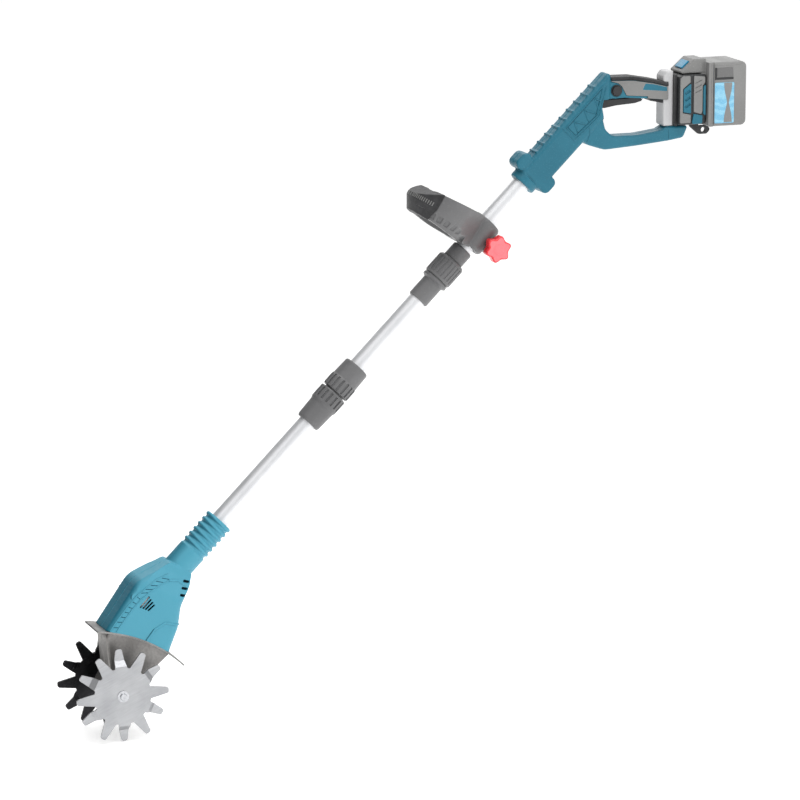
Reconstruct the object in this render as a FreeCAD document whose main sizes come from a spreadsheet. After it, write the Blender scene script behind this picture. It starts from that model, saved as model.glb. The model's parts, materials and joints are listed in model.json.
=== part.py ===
import FreeCAD, Part
import Sketcher
import math
import os

# A battery mini cultivator: a pistol-grip rear handle with a D-shaped guard arm and a slide-on
# battery, a three-section pole with a loop handle, and a motor head with two tine discs.
#
# Row frame: the origin is the centre of the rear hand grip, +Z is up, the head lies toward -X,
# and the pole rises at 45 degrees toward +X. All lengths are millimetres.

Vector = FreeCAD.Vector
Placement = FreeCAD.Placement
Rotation = FreeCAD.Rotation

DIMENSIONS = [
    ("pole_tilt", 45.0),              # the pole above the horizontal, degrees
    ("head_bend", 15.0),              # the head's axis is this much steeper than the pole
    ("loop_lean", 13.0),              # the loop handle leans this much toward the head
    ("grip_to_pole", 37.4),           # from the grip's centre to the pole's axis
    ("bend_station", 1039.0),         # along the pole, from the grip's foot to the bend
    ("clamp_station", 339.0),         # along the pole, to the middle of the loop's clamp
    ("axle_drop", 206.0),             # along the head's axis, from the bend to the tine axle
    ("tube_radius", 14.0),
    ("tube_bore", 13.0),
    ("slider_radius", 12.95),
    ("slider_bore", 11.9),
    ("barrel_width", 38.0),
    ("arm_width", 34.0),
    ("grip_width", 28.0),
    ("wall", 2.5),
    ("side_panel", 2.6),
    ("spine_width", 31.0),
    ("bracket_width", 30.0),
    ("mount_width", 58.0),
    ("battery_width", 72.0),
    ("tongue_width", 50.0),
    ("tongue_gap", 0.4),
    ("cell_radius", 9.0),
    ("cell_length", 65.0),
    ("trigger_width", 17.0),
    ("trigger_slot", 18.6),
    ("pin_radius", 1.5),
    ("button_radius", 7.2),
    ("bezel_radius", 9.1),
    ("liner_radius", 15.45),
    ("loop_half", 57.0),
    ("loop_reach", 128.0),
    ("loop_band", 18.0),
    ("knob_radius", 22.7),
    ("lock_nut_radius", 23.0),
    ("sleeve_radius", 17.0),
    ("head_width", 74.0),
    ("case_width", 54.0),
    ("guard_width", 70.0),
    ("guard_thick", 2.6),
    ("axle_radius", 6.0),
    ("shaft_radius", 4.0),
    ("motor_radius", 20.0),
    ("motor_offset", 24.0),
    ("disc_face", 53.5),
    ("disc_thick", 3.0),
    ("disc_radius", 45.0),
    ("tine_radius", 73.0),
    ("tine_joggle", 8.0),
    ("screw_radius", 1.5),
    ("screw_head", 3.2),
]

doc = FreeCAD.newDocument("MiniCultivator")
sheet = doc.addObject("Spreadsheet::Sheet", "Dimensions")
for row, (alias, value) in enumerate(DIMENSIONS, start=1):
    cell = "B" + str(row)
    sheet.set("A" + str(row), alias)
    sheet.set(cell, str(value))
    sheet.setAlias(cell, alias)
doc.recompute()

nodes = {}


def size(alias):
    """A driving dimension, read from the sheet."""
    return float(sheet.get(alias))


def cell_of(alias):
    """The expression that reads a driving dimension."""
    return "Dimensions." + alias


# Radial gaps: a part seated in its socket, a sliding or turning fit, and a free opening.
SEATED = 0.02
RUNNING = 0.05
LOOSE = 0.4


def wider(alias, gap):
    """The expression for a driving dimension made larger by a gap."""
    return cell_of(alias) + " + " + str(gap)


# ---------------------------------------------------------------- frames

def tilted(origin, angle):
    """A frame whose Z axis leans from the vertical toward +X by angle degrees."""
    return Placement(origin, Rotation(Vector(0, 1, 0), angle))


pole_axis_foot = Vector(-size("grip_to_pole") * math.cos(math.radians(size("pole_tilt"))), 0,
                        size("grip_to_pole") * math.sin(math.radians(size("pole_tilt"))))
ROW = Placement()
# Pole frame: Z runs up the pole from the grip's foot, X points down and back, Y as in the row.
POLE = tilted(pole_axis_foot, size("pole_tilt"))
# Head frame: Z runs up the head's axis from the bend, X points to the rear.
HEAD = tilted(POLE.multVec(Vector(0, 0, -size("bend_station"))), size("pole_tilt") - size("head_bend"))
# Loop frame: Z is the loop's normal, -X is its reach, and the origin is the clamp's middle.
LOOP = tilted(POLE.multVec(Vector(0, 0, -size("clamp_station"))), size("pole_tilt") - size("loop_lean"))
ALONG_Y = Rotation(Vector(1, 0, 0), -90)


def moved(frame, x, y, z, rotation=Rotation()):
    """A placement at a point of a frame."""
    return frame.multiply(Placement(Vector(x, y, z), rotation))


# ---------------------------------------------------------------- outlines

def corner(before, point, after, radius):
    """The two tangent points and the middle of the arc that rounds a corner."""
    toward_before = (before - point).normalize()
    toward_after = (after - point).normalize()
    half = toward_before.getAngle(toward_after) / 2
    reach = radius / math.tan(half)
    bisector = (toward_before + toward_after).normalize()
    middle = point + bisector * (radius / math.sin(half) - radius)
    return point + toward_before * reach, middle, point + toward_after * reach


def closed_edges(outline):
    """Line and arc edges of a closed outline of (x, y) or (x, y, corner radius) points."""
    points = [Vector(item[0], item[1], 0) for item in outline]
    count = len(points)
    edges = []
    spans = []
    for index, item in enumerate(outline):
        radius = item[2] if len(item) > 2 else 0
        if radius:
            first, middle, last = corner(points[index - 1], points[index], points[(index + 1) % count],
                                         radius)
            edges.append(Part.Arc(first, middle, last))
            spans.append((first, last))
        else:
            edges.append(None)
            spans.append((points[index], points[index]))
    result = []
    for index in range(count):
        if edges[index]:
            result.append(edges[index])
        start = spans[index][1]
        end = spans[(index + 1) % count][0]
        if start.distanceToPoint(end) > 1e-6:
            result.append(Part.LineSegment(start, end))
    return result


def inset(outline, distance):
    """The outline moved inward by a distance, for the inside of a wall. It runs anticlockwise."""
    points = [Vector(item[0], item[1], 0) for item in outline]
    area = sum(a.x * b.y - b.x * a.y for a, b in zip(points, points[1:] + points[:1]))
    side = 1 if area > 0 else -1
    result = []
    for index, item in enumerate(outline):
        point = points[index]
        into = (point - points[index - 1]).normalize()
        out = (points[(index + 1) % len(points)] - point).normalize()
        normal_in = Vector(-into.y, into.x, 0) * side
        normal_out = Vector(-out.y, out.x, 0) * side
        bisector = (normal_in + normal_out).normalize()
        shifted = point + bisector * (distance / bisector.dot(normal_in))
        radius = item[2] if len(item) > 2 else 0
        turn = (into.x * out.y - into.y * out.x) * side
        new_radius = max(radius - distance, 0) if turn > 0 else (radius + distance if radius else 0)
        result.append((shifted.x, shifted.y, new_radius))
    return result


def circle_outline(teeth, root, tip, root_share, tip_share, phase=0.0):
    """A toothed ring outline: trapezoid teeth, each share a fraction of the tooth pitch."""
    pitch = 2 * math.pi / teeth
    result = []
    for index in range(teeth):
        middle = index * pitch + math.radians(phase)
        for radius, share in ((root, -root_share), (tip, -tip_share), (tip, tip_share), (root, root_share)):
            angle = middle + share * pitch / 2
            result.append((radius * math.cos(angle), radius * math.sin(angle)))
    return result


# ---------------------------------------------------------------- features

def keep(label, piece):
    """Names a finished piece and puts it on the list of nodes."""
    piece.Label = label
    nodes[label] = piece
    return piece


def new_body(name, frame):
    body = doc.addObject("PartDesign::Body", name)
    body.Placement = frame
    return body


def new_sketch(body, name, role, outlines, offset="0"):
    """A sketch on one of the body's own origin planes, moved along its normal by an expression."""
    plane = next(item for item in body.Origin.OriginFeatures if item.Role == role)
    sketch = body.newObject("Sketcher::SketchObject", name)
    sketch.AttachmentSupport = [(plane, "")]
    sketch.MapMode = "FlatFace"
    sketch.setExpression(".AttachmentOffset.Base.z", offset)
    for outline in outlines:
        for edge in closed_edges(outline):
            sketch.addGeometry(edge, False)
    return sketch


def add_circles(sketch, circles):
    """Circles of (x, y, radius expression), each radius bound to the sheet."""
    for x, y, radius in circles:
        index = sketch.addGeometry(Part.Circle(Vector(x, y, 0), Vector(0, 0, 1), 5.0), False)
        number = sketch.addConstraint(Sketcher.Constraint("Radius", index, 5.0))
        sketch.setExpression("Constraints[" + str(number) + "]", radius)
    return sketch


def rim_edges(shape, levels, axis):
    """Names of the edges that lie in one of the end planes of a slab."""
    names = []
    for index, edge in enumerate(shape.Edges, start=1):
        box = edge.BoundBox
        low, high = {"Y": (box.YMin, box.YMax), "Z": (box.ZMin, box.ZMax)}[axis]
        if any(abs(low - level) < 1e-4 and abs(high - level) < 1e-4 for level in levels):
            names.append("Edge" + str(index))
    return names


def slab(name, frame, outline, width, middle="0", edge=0.0, holes=()):
    """A body: an outline in its XZ plane, padded to a width about y = middle, rims rounded."""
    body = new_body(name, frame)
    start = "-(" + width + ") / 2 - (" + middle + ")"
    sketch = new_sketch(body, name + "_outline", "XZ_Plane", [outline, *holes], start)
    pad = body.newObject("PartDesign::Pad", name + "_pad")
    pad.Profile = sketch
    pad.setExpression("Length", width)
    doc.recompute()
    if edge:
        box = pad.Shape.BoundBox
        fillet = body.newObject("PartDesign::Fillet", name + "_rims")
        fillet.Base = (pad, rim_edges(pad.Shape, (box.YMin, box.YMax), "Y"))
        fillet.Radius = edge
        body.Tip = fillet
        doc.recompute()
    return body


def plate(name, frame, outline, start, length, edge=0.0, holes=()):
    """A body: an outline in its XY plane, padded along +Z from start by length."""
    body = new_body(name, frame)
    sketch = new_sketch(body, name + "_outline", "XY_Plane", [outline, *holes], start)
    pad = body.newObject("PartDesign::Pad", name + "_pad")
    pad.Profile = sketch
    pad.setExpression("Length", length)
    doc.recompute()
    if edge:
        box = pad.Shape.BoundBox
        fillet = body.newObject("PartDesign::Fillet", name + "_rims")
        fillet.Base = (pad, rim_edges(pad.Shape, (box.ZMin, box.ZMax), "Z"))
        fillet.Radius = edge
        body.Tip = fillet
        doc.recompute()
    return body


def turned(name, frame, profile):
    """A body turned about its own Z axis from a closed profile of (radius, height) points."""
    body = new_body(name, frame)
    sketch = new_sketch(body, name + "_profile", "XZ_Plane", [profile])
    turn = body.newObject("PartDesign::Revolution", name + "_turn")
    turn.Profile = sketch
    turn.ReferenceAxis = (sketch, ["V_Axis"])
    turn.Angle = 360
    doc.recompute()
    return body


def ring(name, frame, outer, inner, start, length):
    """A tube along Z: two circles and a length, all bound to the sheet."""
    body = new_body(name, frame)
    sketch = new_sketch(body, name + "_section", "XY_Plane", [], start)
    add_circles(sketch, [(0, 0, outer), (0, 0, inner)])
    pad = body.newObject("PartDesign::Pad", name + "_pad")
    pad.Profile = sketch
    pad.setExpression("Length", length)
    doc.recompute()
    return body


def polar_cuts(body, name, outline, start, length, count):
    """Pockets cut along -Z from a height, repeated round the body's Z axis."""
    before = body.Shape.Volume
    sketch = new_sketch(body, name + "_outline", "XY_Plane", [outline], start)
    pocket = body.newObject("PartDesign::Pocket", name + "_pocket")
    pocket.Profile = sketch
    pocket.setExpression("Length", length)
    doc.recompute()
    axis = next(item for item in body.Origin.OriginFeatures if item.Role == "Z_Axis")
    pattern = body.newObject("PartDesign::PolarPattern", name + "_pattern")
    pattern.Originals = [pocket]
    pattern.Axis = (axis, [""])
    pattern.Angle = 360
    pattern.Occurrences = count
    body.Tip = pattern
    doc.recompute()
    if body.Shape.Volume >= before - 1e-3:
        raise RuntimeError(name + " cut nothing")
    return body


def block(name, frame, low, high):
    """A box between two corners of a frame."""
    piece = doc.addObject("Part::Box", name)
    piece.Length = high[0] - low[0]
    piece.Width = high[1] - low[1]
    piece.Height = high[2] - low[2]
    piece.Placement = moved(frame, *low)
    return piece


def rod(name, frame, radius, length, centre, rotation=Rotation()):
    """A cylinder with its radius and length bound to the sheet, from a point along its axis."""
    piece = doc.addObject("Part::Cylinder", name)
    piece.setExpression("Radius", radius)
    piece.setExpression("Height", length)
    piece.Placement = moved(frame, *centre, rotation)
    return piece


def fuse(name, pieces):
    piece = doc.addObject("Part::MultiFuse", name)
    piece.Shapes = pieces
    piece.Refine = True
    doc.recompute()
    return piece


def cut(name, base, tools):
    """The base with the tools taken away, which has to leave less than it had."""
    tool = tools[0] if len(tools) == 1 else fuse(name + "_tools", tools)
    piece = doc.addObject("Part::Cut", name)
    piece.Base = base
    piece.Tool = tool
    doc.recompute()
    if piece.Shape.Volume >= base.Shape.Volume - 1e-6:
        raise RuntimeError(name + " cut nothing")
    return piece


def common(name, first, second):
    piece = doc.addObject("Part::Common", name)
    piece.Base = first
    piece.Tool = second
    doc.recompute()
    return piece


def group(name, pieces):
    """Separate solids in one node, kept apart."""
    piece = doc.addObject("Part::Compound", name)
    piece.Links = pieces
    doc.recompute()
    return piece


def half_space(name, side):
    """Everything on one side of the parting plane: side -1 is left, +1 is right."""
    reach = 1600
    low = -100 if side < 0 else 0
    return block(name, ROW, (-reach, low, -reach), (reach, low + 100, reach))


# ---------------------------------------------------------------- rear handle

TUBE_TOP = -150.0                # the upper tube's end inside the barrel, in the pole frame
BARREL_FRONT = -226.0
COLLAR_FRONT = -236.0
BARREL = [(-21.4, BARREL_FRONT, 8), (25, BARREL_FRONT, 8), (25, -58.4, 10), (-21.4, -12, 4)]
BARREL_ROOM = [(-18.5, TUBE_TOP + 2), (22.5, TUBE_TOP + 2), (22.5, -59.4), (-12, -24.9), (-18.5, -31)]
ARM = [(-84, -34, 12), (-66, -30), (-58, -60, 14), (-46, -71, 16), (-4, -71, 60), (35, -66), (46, -60),
       (82, -60, 3), (74, -79, 8), (48, -83), (-4, -88, 60), (-59, -92, 30), (-97, -80, 30), (-104, -60, 8)]
HAND_OPENING = [(-65, -13), (-65, -28, 6), (-58, -60, 14), (-46, -71, 16), (-4, -71, 60), (31, -66.6, 4),
                (31, -18), (11, -14.2), (-28, -11)]
GRIP = [(-62, -12), (-28, -11), (11, -14.2), (48, -18.6), (48, 3), (22, 9.5), (-12, 15.5), (-62, 17)]
SPINE = [(-49.5, 16.625), (-12, 15.5), (22, 9.5), (48, 3), (48, 9.5), (22, 15.5), (-12, 21.5), (-49.5, 22)]
SURROUND = [(-60, -11), (11, -13.9), (12, -10.9), (-24, -8.2, 3), (-32, 6, 5), (-38, 11.5, 3), (-60, 17)]
SIDE_PANEL = [(-49.4, 15.2), (-37.6, 12, 3), (-31.6, 6.4, 5), (-23.8, -7.8, 3), (12.4, -10.5), (12.4, -14),
              (46.5, -17.6, 1), (46.5, 2.6, 1), (22, 8.9), (-12, 14.9), (-49.4, 16)]
INLAY = [(3, 0, 1), (44.5, -4, 1), (44.5, 2.2, 1), (22, 7.8, 30), (8, 9.6, 1)]
BUTTON_AT = (-41.0, 0.8)
TRIGGER_PIN_AT = (4.5, -14.3)
TRIGGER = [(-61, -13.5, 2.5), (-62.5, -28, 4), (-38, -24, 40), (-6, -21.8), (4.5, -19, 2.5), (9, -14.5, 3),
           (4.5, -9.6, 2.5), (-20, -12.8)]
BOSS_ROW = -210.0
BOSS_OUT = 27.0
RIBS = 9
RIB_START = -188.0
RIB_PITCH = 17.0
RIB_WIDE = 5.4
# Each screw's frame, its place in the frame's XZ plane, and half the length of the post round it.
SHELL_SCREWS = [(POLE, -BOSS_OUT, BOSS_ROW, 17.6), (POLE, BOSS_OUT, BOSS_ROW, 17.6),
                (POLE, 18.0, -160.0, 17.6), (POLE, -11.0, -37.0, 17.6), (ROW, -80.0, -72.0, 16.2),
                (ROW, 42.0, -73.0, 16.2)]


POST_WALL = 1.4


def shell_walls(name, frame, outline, width, wall):
    """The hollow inside one slab of a moulded shell."""
    return slab(name, frame, inset(outline, wall), width + " - 2 * " + cell_of("wall"))


def rear_shell():
    """The whole rear housing before it is parted: barrel, guard arm, grip core, bosses and ribs."""
    wall = size("wall")
    solid = [
        slab("barrel", POLE, BARREL, cell_of("barrel_width"), edge=7),
        slab("guard_arm", ROW, ARM, cell_of("arm_width"), edge=5),
        slab("grip_core", ROW, GRIP, cell_of("grip_width")),
        slab("button_surround", ROW, SURROUND, cell_of("grip_width") + " + 2 * " + cell_of("side_panel")),
        turned("front_collar", POLE, [(0, COLLAR_FRONT), (20.5, COLLAR_FRONT), (22, COLLAR_FRONT + 2),
                                      (22, BARREL_FRONT + 2), (0, BARREL_FRONT + 2)]),
    ]
    for index, side in enumerate((-BOSS_OUT, BOSS_OUT)):
        outline = [(side - 10, BOSS_ROW - 14, 9), (side + 10, BOSS_ROW - 14, 9),
                   (side + 10, BOSS_ROW + 14, 9), (side - 10, BOSS_ROW + 14, 9)]
        solid.append(slab("front_boss_" + str(index), POLE, outline, cell_of("barrel_width"), edge=4))
    for index in range(RIBS):
        low = RIB_START + RIB_PITCH * index
        outline = [(-23.4, low + 1.4, 1), (-18, low), (-18, low + RIB_WIDE), (-23.4, low + RIB_WIDE - 1.4, 1)]
        solid.append(slab("grip_rib_" + str(index), POLE, outline, cell_of("barrel_width") + " - 9",
                          edge=0.8))
    whole = fuse("rear_solid", solid)
    hollow = [
        slab("barrel_hollow", POLE, BARREL_ROOM, cell_of("barrel_width") + " - 2 * " + cell_of("wall")),
        shell_walls("arm_hollow", ROW, ARM, cell_of("arm_width"), wall),
        shell_walls("grip_hollow", ROW, GRIP, cell_of("grip_width"), wall),
        slab("hand_opening", ROW, HAND_OPENING, cell_of("barrel_width") + " + 20"),
        block("trigger_slot", ROW, (-64.5, -size("trigger_slot") / 2, -31),
              (12, size("trigger_slot") / 2, -2)), rod("tube_seat", POLE, wider("tube_radius", SEATED),
                                                       "120", (0, 0, TUBE_TOP - 115)),
                                                       rod("button_hole", ROW,
                                                           wider("button_radius", LOOSE), "10",
                                                           (BUTTON_AT[0], -20, BUTTON_AT[1]), ALONG_Y),
                                                           rod("bezel_seat", ROW, cell_of("bezel_radius"),
                                                               "6", (BUTTON_AT[0], -20, BUTTON_AT[1]),
                                                               ALONG_Y),
                                                               rod("pin_hole", ROW, cell_of("pin_radius"),
                                                                   "24",
                                                                   (TRIGGER_PIN_AT[0], -12,
                                                                    TRIGGER_PIN_AT[1]), ALONG_Y), ]
    return cut("rear_shell", whole, hollow)


def screw(name, frame, x, z, head_y, length):
    """A screw along Y whose head lies at y = head_y on the right-hand side."""
    shank = rod(name + "_shank", frame, cell_of("screw_radius"), str(length), (x, head_y - length, z),
                ALONG_Y)
    head = rod(name + "_head", frame, cell_of("screw_head"), "2", (x, head_y, z), ALONG_Y)
    return fuse(name, [shank, head])


def screw_bosses(name, screws, head_y, length):
    """Solid posts round the screws, and the holes that the screws fill."""
    posts = []
    holes = []
    for index, (frame, x, z, reach) in enumerate(screws):
        tag = name + "_" + str(index)
        posts.append(rod(tag + "_post", frame, wider("screw_head", POST_WALL), str(2 * reach),
                         (x, -reach, z), ALONG_Y))
        holes.append(rod(tag + "_hole", frame, cell_of("screw_radius"), str(length),
                         (x, head_y - length, z), ALONG_Y))
        holes.append(rod(tag + "_sink", frame, cell_of("screw_head"), "24", (x, head_y, z), ALONG_Y))
    return posts, holes


def part_shells(name, shell):
    """Parts a housing at y = 0 into its left and right shells."""
    for word, side in (("left", -1), ("right", 1)):
        label = name + "_" + word
        keep(label, common(label, shell, half_space(label + "_side", side)))


def build_rear_housing():
    head_y = 14.0
    length = 24.0
    posts, holes = screw_bosses("rear_screw", SHELL_SCREWS, head_y, length)
    shell = cut("rear_shell_drilled", fuse("rear_shell_posts", [rear_shell(), *posts]), holes)
    part_shells("rear_housing", shell)
    screws = [screw("rear_screw_" + str(index) + "_body", frame, x, z, head_y, length)
              for index, (frame, x, z, _) in enumerate(SHELL_SCREWS)]
    keep("rear_housing_screws", group("rear_housing_screws", screws))


def build_grip_trim():
    keep("grip_spine", slab("grip_spine", ROW, SPINE, cell_of("spine_width"), edge=2.2))
    middle = "(" + cell_of("grip_width") + " + " + cell_of("side_panel") + ") / 2"
    panels = []
    inlays = []
    for word, sign in (("left", "-"), ("right", "")):
        panels.append(slab("side_panel_" + word, ROW, SIDE_PANEL, cell_of("side_panel"), sign + middle,
                           holes=[INLAY]))
        inlays.append(slab("inlay_" + word, ROW, INLAY, cell_of("side_panel"), sign + middle))
    keep("grip_side_panels", group("grip_side_panels", panels))
    keep("grip_inlays", group("grip_inlays", inlays))


def build_controls():
    """The trigger on its pin, the lock-off button and the sprung switch behind them."""
    pivot = rod("trigger_eye", ROW, wider("pin_radius", RUNNING), "20",
                (TRIGGER_PIN_AT[0], -10, TRIGGER_PIN_AT[1]), ALONG_Y)
    lever = slab("trigger_lever", ROW, TRIGGER, cell_of("trigger_width"), edge=1.6)
    keep("trigger", cut("trigger", lever, [pivot]))
    keep("trigger_pin", rod("trigger_pin", ROW, cell_of("pin_radius"), "24",
                            (TRIGGER_PIN_AT[0], -12, TRIGGER_PIN_AT[1]), ALONG_Y))
    cap = rod("lock_button_cap", ROW, cell_of("button_radius"), "8.5", (BUTTON_AT[0], -19.8, BUTTON_AT[1]),
              ALONG_Y)
    stem = rod("lock_button_stem", ROW, "3", "6", (BUTTON_AT[0], -11.3, BUTTON_AT[1]), ALONG_Y)
    keep("lock_button", fuse("lock_button", [cap, stem]))
    bezel_frame = moved(ROW, BUTTON_AT[0], -17.4, BUTTON_AT[1], ALONG_Y)
    keep("lock_button_bezel", ring("lock_button_bezel", bezel_frame, cell_of("bezel_radius"),
                                   wider("button_radius", LOOSE), "0", "3.4"))
    switch = [block("switch_case", ROW, (-27, -8, -3), (7, 8, 8.5)),
              block("switch_plunger", ROW, (-14, -2, -8), (-10, 2, -3)),
              block("switch_terminals", ROW, (-25, -5, 8.5), (-12, 5, 10.5))]
    keep("switch_module", fuse("switch_module", switch))
    board = [block("board_plate", POLE, (-15, -0.8, -142), (19, 0.8, -82)),
             rod("board_capacitor", POLE, "5", "12", (8, 0.8, -98), ALONG_Y),
             block("board_heat_sink", POLE, (-13, 0.8, -138), (13, 9, -114))]
    keep("control_board", fuse("control_board", board))


# ---------------------------------------------------------------- battery mount

BRACKET = [(39, -59.5, 3), (56, -59.5), (56, 27), (45, 27, 6), (39, 19, 4)]
GASKET = [(56, -59.5, 3), (60, -59.5), (60, 22), (56, 22, 3)]
MOUNT = [(60, -57.5, 4), (106.4, -57.5, 4), (106.4, 21.8, 4), (68, 21.8, 8), (60, 18, 4)]
FRONT_PANEL = [(61, -54, 2), (79, -54, 2), (79, -41), (65.5, -38, 1), (65.5, 0, 1), (78, 10, 1),
               (78, 20, 2), (66, 20, 5), (61, 16, 3)]
ANGLE_PANEL = [(84, -37, 2), (97, -41, 2), (99, -36, 1), (99, 4, 2), (103, 9, 2), (103, 18, 2), (84, 20, 2)]
LOWER_BLOCK = [(81, -56, 3), (99, -56, 3), (99, -43, 1), (84, -40, 1)]
REAR_STRIP = [(100.4, -40, 0.8), (104, -44, 0.8), (104, 6, 0.8), (100.4, 2, 0.8)]
VENT_INSERT = [(66.7, -36.6, 1), (79, -39, 1), (79, 8, 1), (66.7, -0.8, 1)]
TONGUE_TOP = 22.2
TONGUE_FOOT = -30.0
BLADE_ROWS = (-16.0, -6.0, 6.0, 16.0)
LUG = [(90, -57.5), (103.5, -57.5), (105, -63, 3), (120, -63.2, 4), (126, -70, 5), (119, -77, 5),
       (105, -77, 7), (90, -64, 5)]
STRAP_EYE = (113.0, -70.0)


def build_battery_mount():
    rooms = [slab("grip_end_room", ROW, GRIP, cell_of("grip_width")),
             slab("spine_room", ROW, SPINE, cell_of("spine_width")),
             slab("panel_room", ROW, SIDE_PANEL, cell_of("spine_width")),
             block("bracket_core", ROW, (42, -11, -57), (53.5, 11, 18))]
    bracket = slab("bracket_block", ROW, BRACKET, cell_of("bracket_width"), edge=2.6)
    keep("rear_bracket", cut("rear_bracket", bracket, rooms))
    keep("mount_gasket", slab("mount_gasket", ROW, GASKET, cell_of("bracket_width") + " + 12", edge=1.5))
    body = slab("mount_block", ROW, MOUNT, cell_of("mount_width"), edge=3)
    gap = size("tongue_gap")
    half = size("tongue_width") / 2
    rooms = [block("tongue_room", ROW, (99.1, -half - gap, -47), (110, half + gap, 30)),
             block("mount_hollow", ROW, (62.5, -26, -54), (96.6, 26, 19))]
    keep("battery_mount", cut("battery_mount", body, rooms))
    side = "(" + cell_of("mount_width") + " + 2.4) / 2"
    panels = []
    trims = []
    inserts = []
    for word, sign in (("left", -1), ("right", 1)):
        middle = ("-" if sign < 0 else "") + side
        panel = slab("angle_panel_" + word, ROW, ANGLE_PANEL, "2.4", middle, edge=0.7)
        grooves = []
        for index in range(3):
            place = moved(ROW, 92.5, sign * 31.2, 11 - 7.5 * index, Rotation(Vector(0, 1, 0), -25))
            grooves.append(block("panel_groove_" + word + str(index), place, (-7, -1.0, -0.9),
                                 (5, 1.0, 0.9)))
        panels.append(cut("angle_panel_cut_" + word, panel, grooves))
        panels.append(slab("front_panel_" + word, ROW, FRONT_PANEL, "2.4", middle, edge=0.7))
        trims.append(slab("lower_block_" + word, ROW, LOWER_BLOCK, "2.4", middle, edge=0.7))
        trims.append(slab("rear_strip_" + word, ROW, REAR_STRIP, "2.4", middle))
        insert = slab("vent_insert_" + word, ROW, VENT_INSERT, "2.4", middle)
        slots = []
        for index in range(3):
            place = moved(ROW, 73.4, sign * 31.0, -5.5 - 10.5 * index, Rotation(Vector(0, 1, 0), -32))
            slots.append(block("vent_slot_" + word + str(index), place, (-5, -1.4, -2.1), (5, 1.4, 2.1)))
        inserts.append(cut("vent_insert_cut_" + word, insert, slots))
    keep("mount_side_panels", group("mount_side_panels", panels))
    keep("mount_trims", group("mount_trims", trims + inserts))
    base = block("terminal_base", ROW, (99.1, -22, -47), (106, 22, TONGUE_FOOT - 0.6))
    blades = [block("terminal_blade_" + str(index), ROW, (101.6, row - 0.6, TONGUE_FOOT - 0.6),
                    (105, row + 0.6, -13))
              for index, row in enumerate(BLADE_ROWS)]
    keep("terminal_block", fuse("terminal_block", [base, *blades]))
    lug = slab("strap_lug_plate", ROW, LUG, "6", edge=1.2)
    eye = rod("strap_eye_hole", ROW, "4", "10", (STRAP_EYE[0], -5, STRAP_EYE[1]), ALONG_Y)
    keep("strap_lug", cut("strap_lug", lug, [eye]))


# ---------------------------------------------------------------- battery

BATTERY_SEAM = 115.0
BATTERY_REAR = 172.0
BATTERY_FRONT = [(107, -61, 3), (BATTERY_SEAM, -61), (BATTERY_SEAM, 40), (107, 40)]
BATTERY_CASE = [(BATTERY_SEAM, -61), (BATTERY_REAR, -61, 9), (BATTERY_REAR, 40, 9), (BATTERY_SEAM, 40)]
LATCH_HEAD = [(66.4, 22.8, 1), (107.5, 22.8), (107.5, 45, 2), (88, 45, 4), (66.4, 26, 1.5)]
SLOPE_MIDDLE = (76.6, 35.0)
SLOPE_ANGLE = -41.3
FINGER_ROOM = [(119, 14, 3), (148, 14, 3), (154, 22, 3), (154, 31, 3), (119, 31, 3)]
LABEL = [(117, -56, 2), (150, -56, 2), (150, 8, 2), (117, 8, 2)]


def build_battery():
    width = cell_of("battery_width")
    half = size("tongue_width") / 2
    front = fuse("battery_front_solid", [
        slab("front_frame", ROW, BATTERY_FRONT, width),
        slab("latch_head", ROW, LATCH_HEAD, "46", edge=2),
        block("tongue", ROW, (99.5, -half, TONGUE_FOOT), (107.5, half, TONGUE_TOP))])
    slope = moved(ROW, SLOPE_MIDDLE[0], 0, SLOPE_MIDDLE[1], Rotation(Vector(0, 1, 0), SLOPE_ANGLE))
    tools = [block("latch_room", slope, (-8.4, -13.4, -7), (8.4, 13.4, 6)),
             block("front_hollow", ROW, (109.5, -33.5, -58), (116, 33.5, 37.5))]
    for index, row in enumerate(BLADE_ROWS):
        tools.append(block("blade_slot_" + str(index), ROW, (101, row - 1.2, TONGUE_FOOT - 1),
                           (105.6, row + 1.2, -12)))
    keep("battery_front", cut("battery_front", front, tools))
    case = slab("case_solid", ROW, BATTERY_CASE, width, edge=4)
    rooms = [block("case_hollow", ROW, (BATTERY_SEAM - 1, -33.5, -58), (BATTERY_REAR - 2.5, 33.5, 37.5))]
    keep("battery_case", cut("battery_case", case, rooms))
    button = slab("release_button_cap", slope, [(-8, -4, 1), (8, -4, 1), (8, 2.2, 1), (-8, 2.2, 1)], "26",
                  edge=0.9)
    keep("release_button", button)
    cells = []
    for column in range(3):
        for row in range(5):
            cells.append(rod("cell_" + str(column) + str(row), ROW, cell_of("cell_radius"),
                             cell_of("cell_length"), (122.6 + 18.3 * column, -size("cell_length") / 2,
                                                      -47.3 + 18.4 * row), ALONG_Y))
    keep("battery_cells", group("battery_cells", cells))
    keep("battery_board", block("battery_board", ROW, (110.2, -30, -50), (111.8, 30, 32)))
    side = "(" + width + " + 1.2) / 2"
    labels = [slab("label_" + word, ROW, LABEL, "1.2", sign + side, edge=0.4)
              for word, sign in (("left", "-"), ("right", ""))]
    keep("battery_label_panels", group("battery_label_panels", labels))


# ---------------------------------------------------------------- pole

LOCK_END = -425.0
SLIDER_TOP = -215.0
SLIDER_FOOT = -520.0
MIDDLE_TOP = -455.0
MIDDLE_FOOT = -715.0
LOWER_TOP = -720.0
LOWER_FOOT = -985.0


PINS = 3
PIN_CIRCLE = 6.0


def span(low, high):
    """The distance between two stations, as an expression."""
    return str(high - low)


def pin_place(index, height):
    """Where one of the plug's pins starts, in the pole frame."""
    angle = index * 2 * math.pi / PINS
    return PIN_CIRCLE * math.cos(angle), PIN_CIRCLE * math.sin(angle), height


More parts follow.
